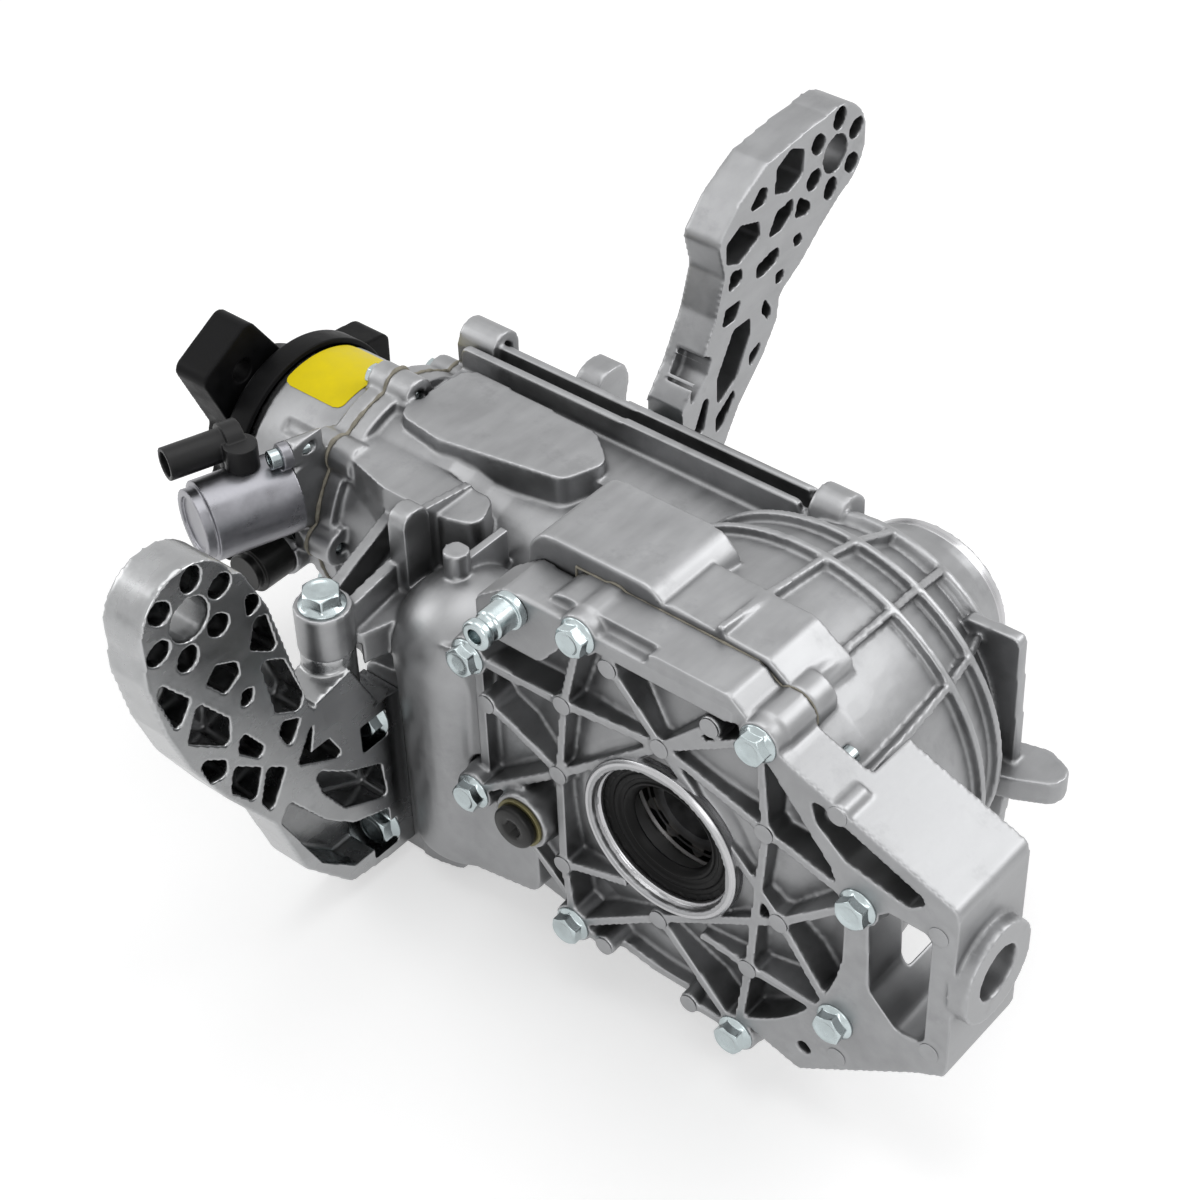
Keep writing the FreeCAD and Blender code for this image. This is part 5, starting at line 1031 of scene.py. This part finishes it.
def label_faces(radius, corner):
    """The face and the back of a thin label wrapped round the input axis.

    A grid over the unit square is squeezed at its corners into a rounded rectangle, mapped
    to X along the axis and to arc length round it, and given a back below its face.
    """
    rows, columns = 25, 49
    half_u, half_v = LABEL_HALF
    u = np.linspace(-1, 1, rows)[:, None] + np.zeros((1, columns))
    v = np.linspace(-1, 1, columns)[None, :] + np.zeros((rows, 1))
    into_corner = np.clip(np.abs(v) * half_v - (half_v - corner), 0, corner) / corner
    inset = corner * (1 - np.sqrt(np.clip(1 - into_corner ** 2, 0, 1)))
    x = LABEL_X + u * (half_u - inset)
    angle = LABEL_ANGLE - v * half_v / radius
    faces = grid_faces(rows, columns)
    layers = []
    for reach, corners in ((radius, faces), (radius - LABEL_THICKNESS, faces[:, ::-1])):
        y = INPUT_AXIS[0] + reach * np.cos(angle)
        z = INPUT_AXIS[1] + reach * np.sin(angle)
        layers.append((place("X", x, y, z).reshape(-1, 3), corners))
    return layers


# Stage

def stage_object(name, mesh, material):
    """A piece of the stage."""
    piece = bpy.data.objects.new(name, mesh)
    bpy.context.scene.collection.objects.link(piece)
    mesh.materials.append(material)
    return piece


def seen_directly(tree):
    """One for rays that show a surface: camera, glossy and transmission rays."""
    path = tree.nodes.new("ShaderNodeLightPath")
    both = maths(tree, "MAXIMUM", path.outputs["Is Camera Ray"], path.outputs["Is Glossy Ray"])
    return maths(tree, "MAXIMUM", both, path.outputs["Is Transmission Ray"])


def floor_material():
    """A pale floor that shows white and keeps the shadow."""
    material, tree, shader = new_material("Pale floor")
    shader.inputs["Base Color"].default_value = (0.8, 0.8, 0.8, 1.0)
    shader.inputs["Roughness"].default_value = 0.9
    shader.inputs["Emission Color"].default_value = (1.0, 1.0, 1.0, 1.0)
    tree.links.new(maths(tree, "MULTIPLY", seen_directly(tree), 0.45), shader.inputs["Emission Strength"])
    return material


def add_lamp(name, location, size, power, target):
    """A square soft lamp that faces a point."""
    lamp = bpy.data.lights.new(name, "AREA")
    lamp.shape = "SQUARE"
    lamp.size = size
    lamp.energy = power
    piece = bpy.data.objects.new(name, lamp)
    bpy.context.scene.collection.objects.link(piece)
    piece.location = location
    piece.rotation_euler = (Vector(target) - Vector(location)).to_track_quat("-Z", "Y").to_euler()


def camera_matrix(settings):
    """The camera's place: back along the view direction, with the roll about it."""
    a, e, r = settings.azimuth, settings.elevation, settings.roll
    back = Vector((math.sin(a) * math.cos(e), -math.cos(a) * math.cos(e), math.sin(e)))
    level = (-back).cross(Vector((0, 0, 1))).normalized()
    down = (-back).cross(level)
    right = level * math.cos(r) - down * math.sin(r)
    up = -(level * math.sin(r) + down * math.cos(r))
    matrix = Matrix((right, up, back)).transposed().to_4x4()
    matrix.translation = Vector(settings.camera_place)
    return matrix


class DIFFERENTIAL_OT_stage(bpy.types.Operator):
    """Set the camera, the floor, the lamps and the world"""
    bl_idname = "differential.stage"
    bl_label = "Stage"

    def execute(self, context):
        scene = context.scene
        settings = scene.stage_settings
        camera = bpy.data.cameras.new("Camera")
        camera.lens = settings.lens
        camera.sensor_width = 36.0
        camera.clip_end = 20.0
        holder = bpy.data.objects.new("Camera", camera)
        scene.collection.objects.link(holder)
        holder.matrix_world = camera_matrix(settings)
        scene.camera = holder
        low = CAD_BOX[0].z - FLOOR_GAP
        corners = np.array([(x * FLOOR_REACH, y * FLOOR_REACH, low)
                            for x, y in ((-1, -1), (1, -1), (1, 1), (-1, 1))])
        stage_object("Floor", mesh_of("Floor", corners, np.array([[0, 1, 2, 3]])), floor_material())
        for name, location, size, share in LAMPS:
            add_lamp(name, location, size, settings.key_power * share, LAMP_AIM)
        world = bpy.data.worlds.new("Studio")
        world.use_nodes = True
        tree = world.node_tree
        background = tree.nodes["Background"]
        background.inputs["Color"].default_value = (1.0, 1.0, 1.0, 1.0)
        strength = ranged(tree, seen_directly(tree), 0.0, 1.0, settings.world_light, 1.0)
        tree.links.new(strength, background.inputs["Strength"])
        scene.world = world
        scene.view_settings.view_transform = "Standard"
        return {"FINISHED"}


# Panel and main

OPERATORS = [DIFFERENTIAL_OT_finishes, DIFFERENTIAL_OT_castings, DIFFERENTIAL_OT_fine_parts,
             DIFFERENTIAL_OT_bolts, DIFFERENTIAL_OT_fittings, DIFFERENTIAL_OT_sealant,
             DIFFERENTIAL_OT_label, DIFFERENTIAL_OT_stage]


class DIFFERENTIAL_PT_panel(bpy.types.Panel):
    """Lists the operators of the differential"""
    bl_idname = "DIFFERENTIAL_PT_panel"
    bl_label = "Rear differential"
    bl_space_type = "VIEW_3D"
    bl_region_type = "UI"
    bl_category = "Differential"

    def draw(self, context):
        for operator in OPERATORS:
            self.layout.operator(operator.bl_idname)


def register():
    """Registers the settings, the operators and the panel."""
    for name, group in PROPERTY_GROUPS.items():
        bpy.utils.register_class(group)
        setattr(bpy.types.Scene, name, bpy.props.PointerProperty(type=group))
    for operator in OPERATORS:
        bpy.utils.register_class(operator)
    bpy.utils.register_class(DIFFERENTIAL_PT_panel)


def unregister():
    """Takes the panel, the operators and the settings away again."""
    bpy.utils.unregister_class(DIFFERENTIAL_PT_panel)
    for operator in reversed(OPERATORS):
        bpy.utils.unregister_class(operator)
    for name, group in reversed(list(PROPERTY_GROUPS.items())):
        delattr(bpy.types.Scene, name)
        bpy.utils.unregister_class(group)


def main():
    register()
    for operator in OPERATORS:
        section, name = operator.bl_idname.split(".")
        getattr(getattr(bpy.ops, section), name)()


if __name__ == "__main__":
    main()
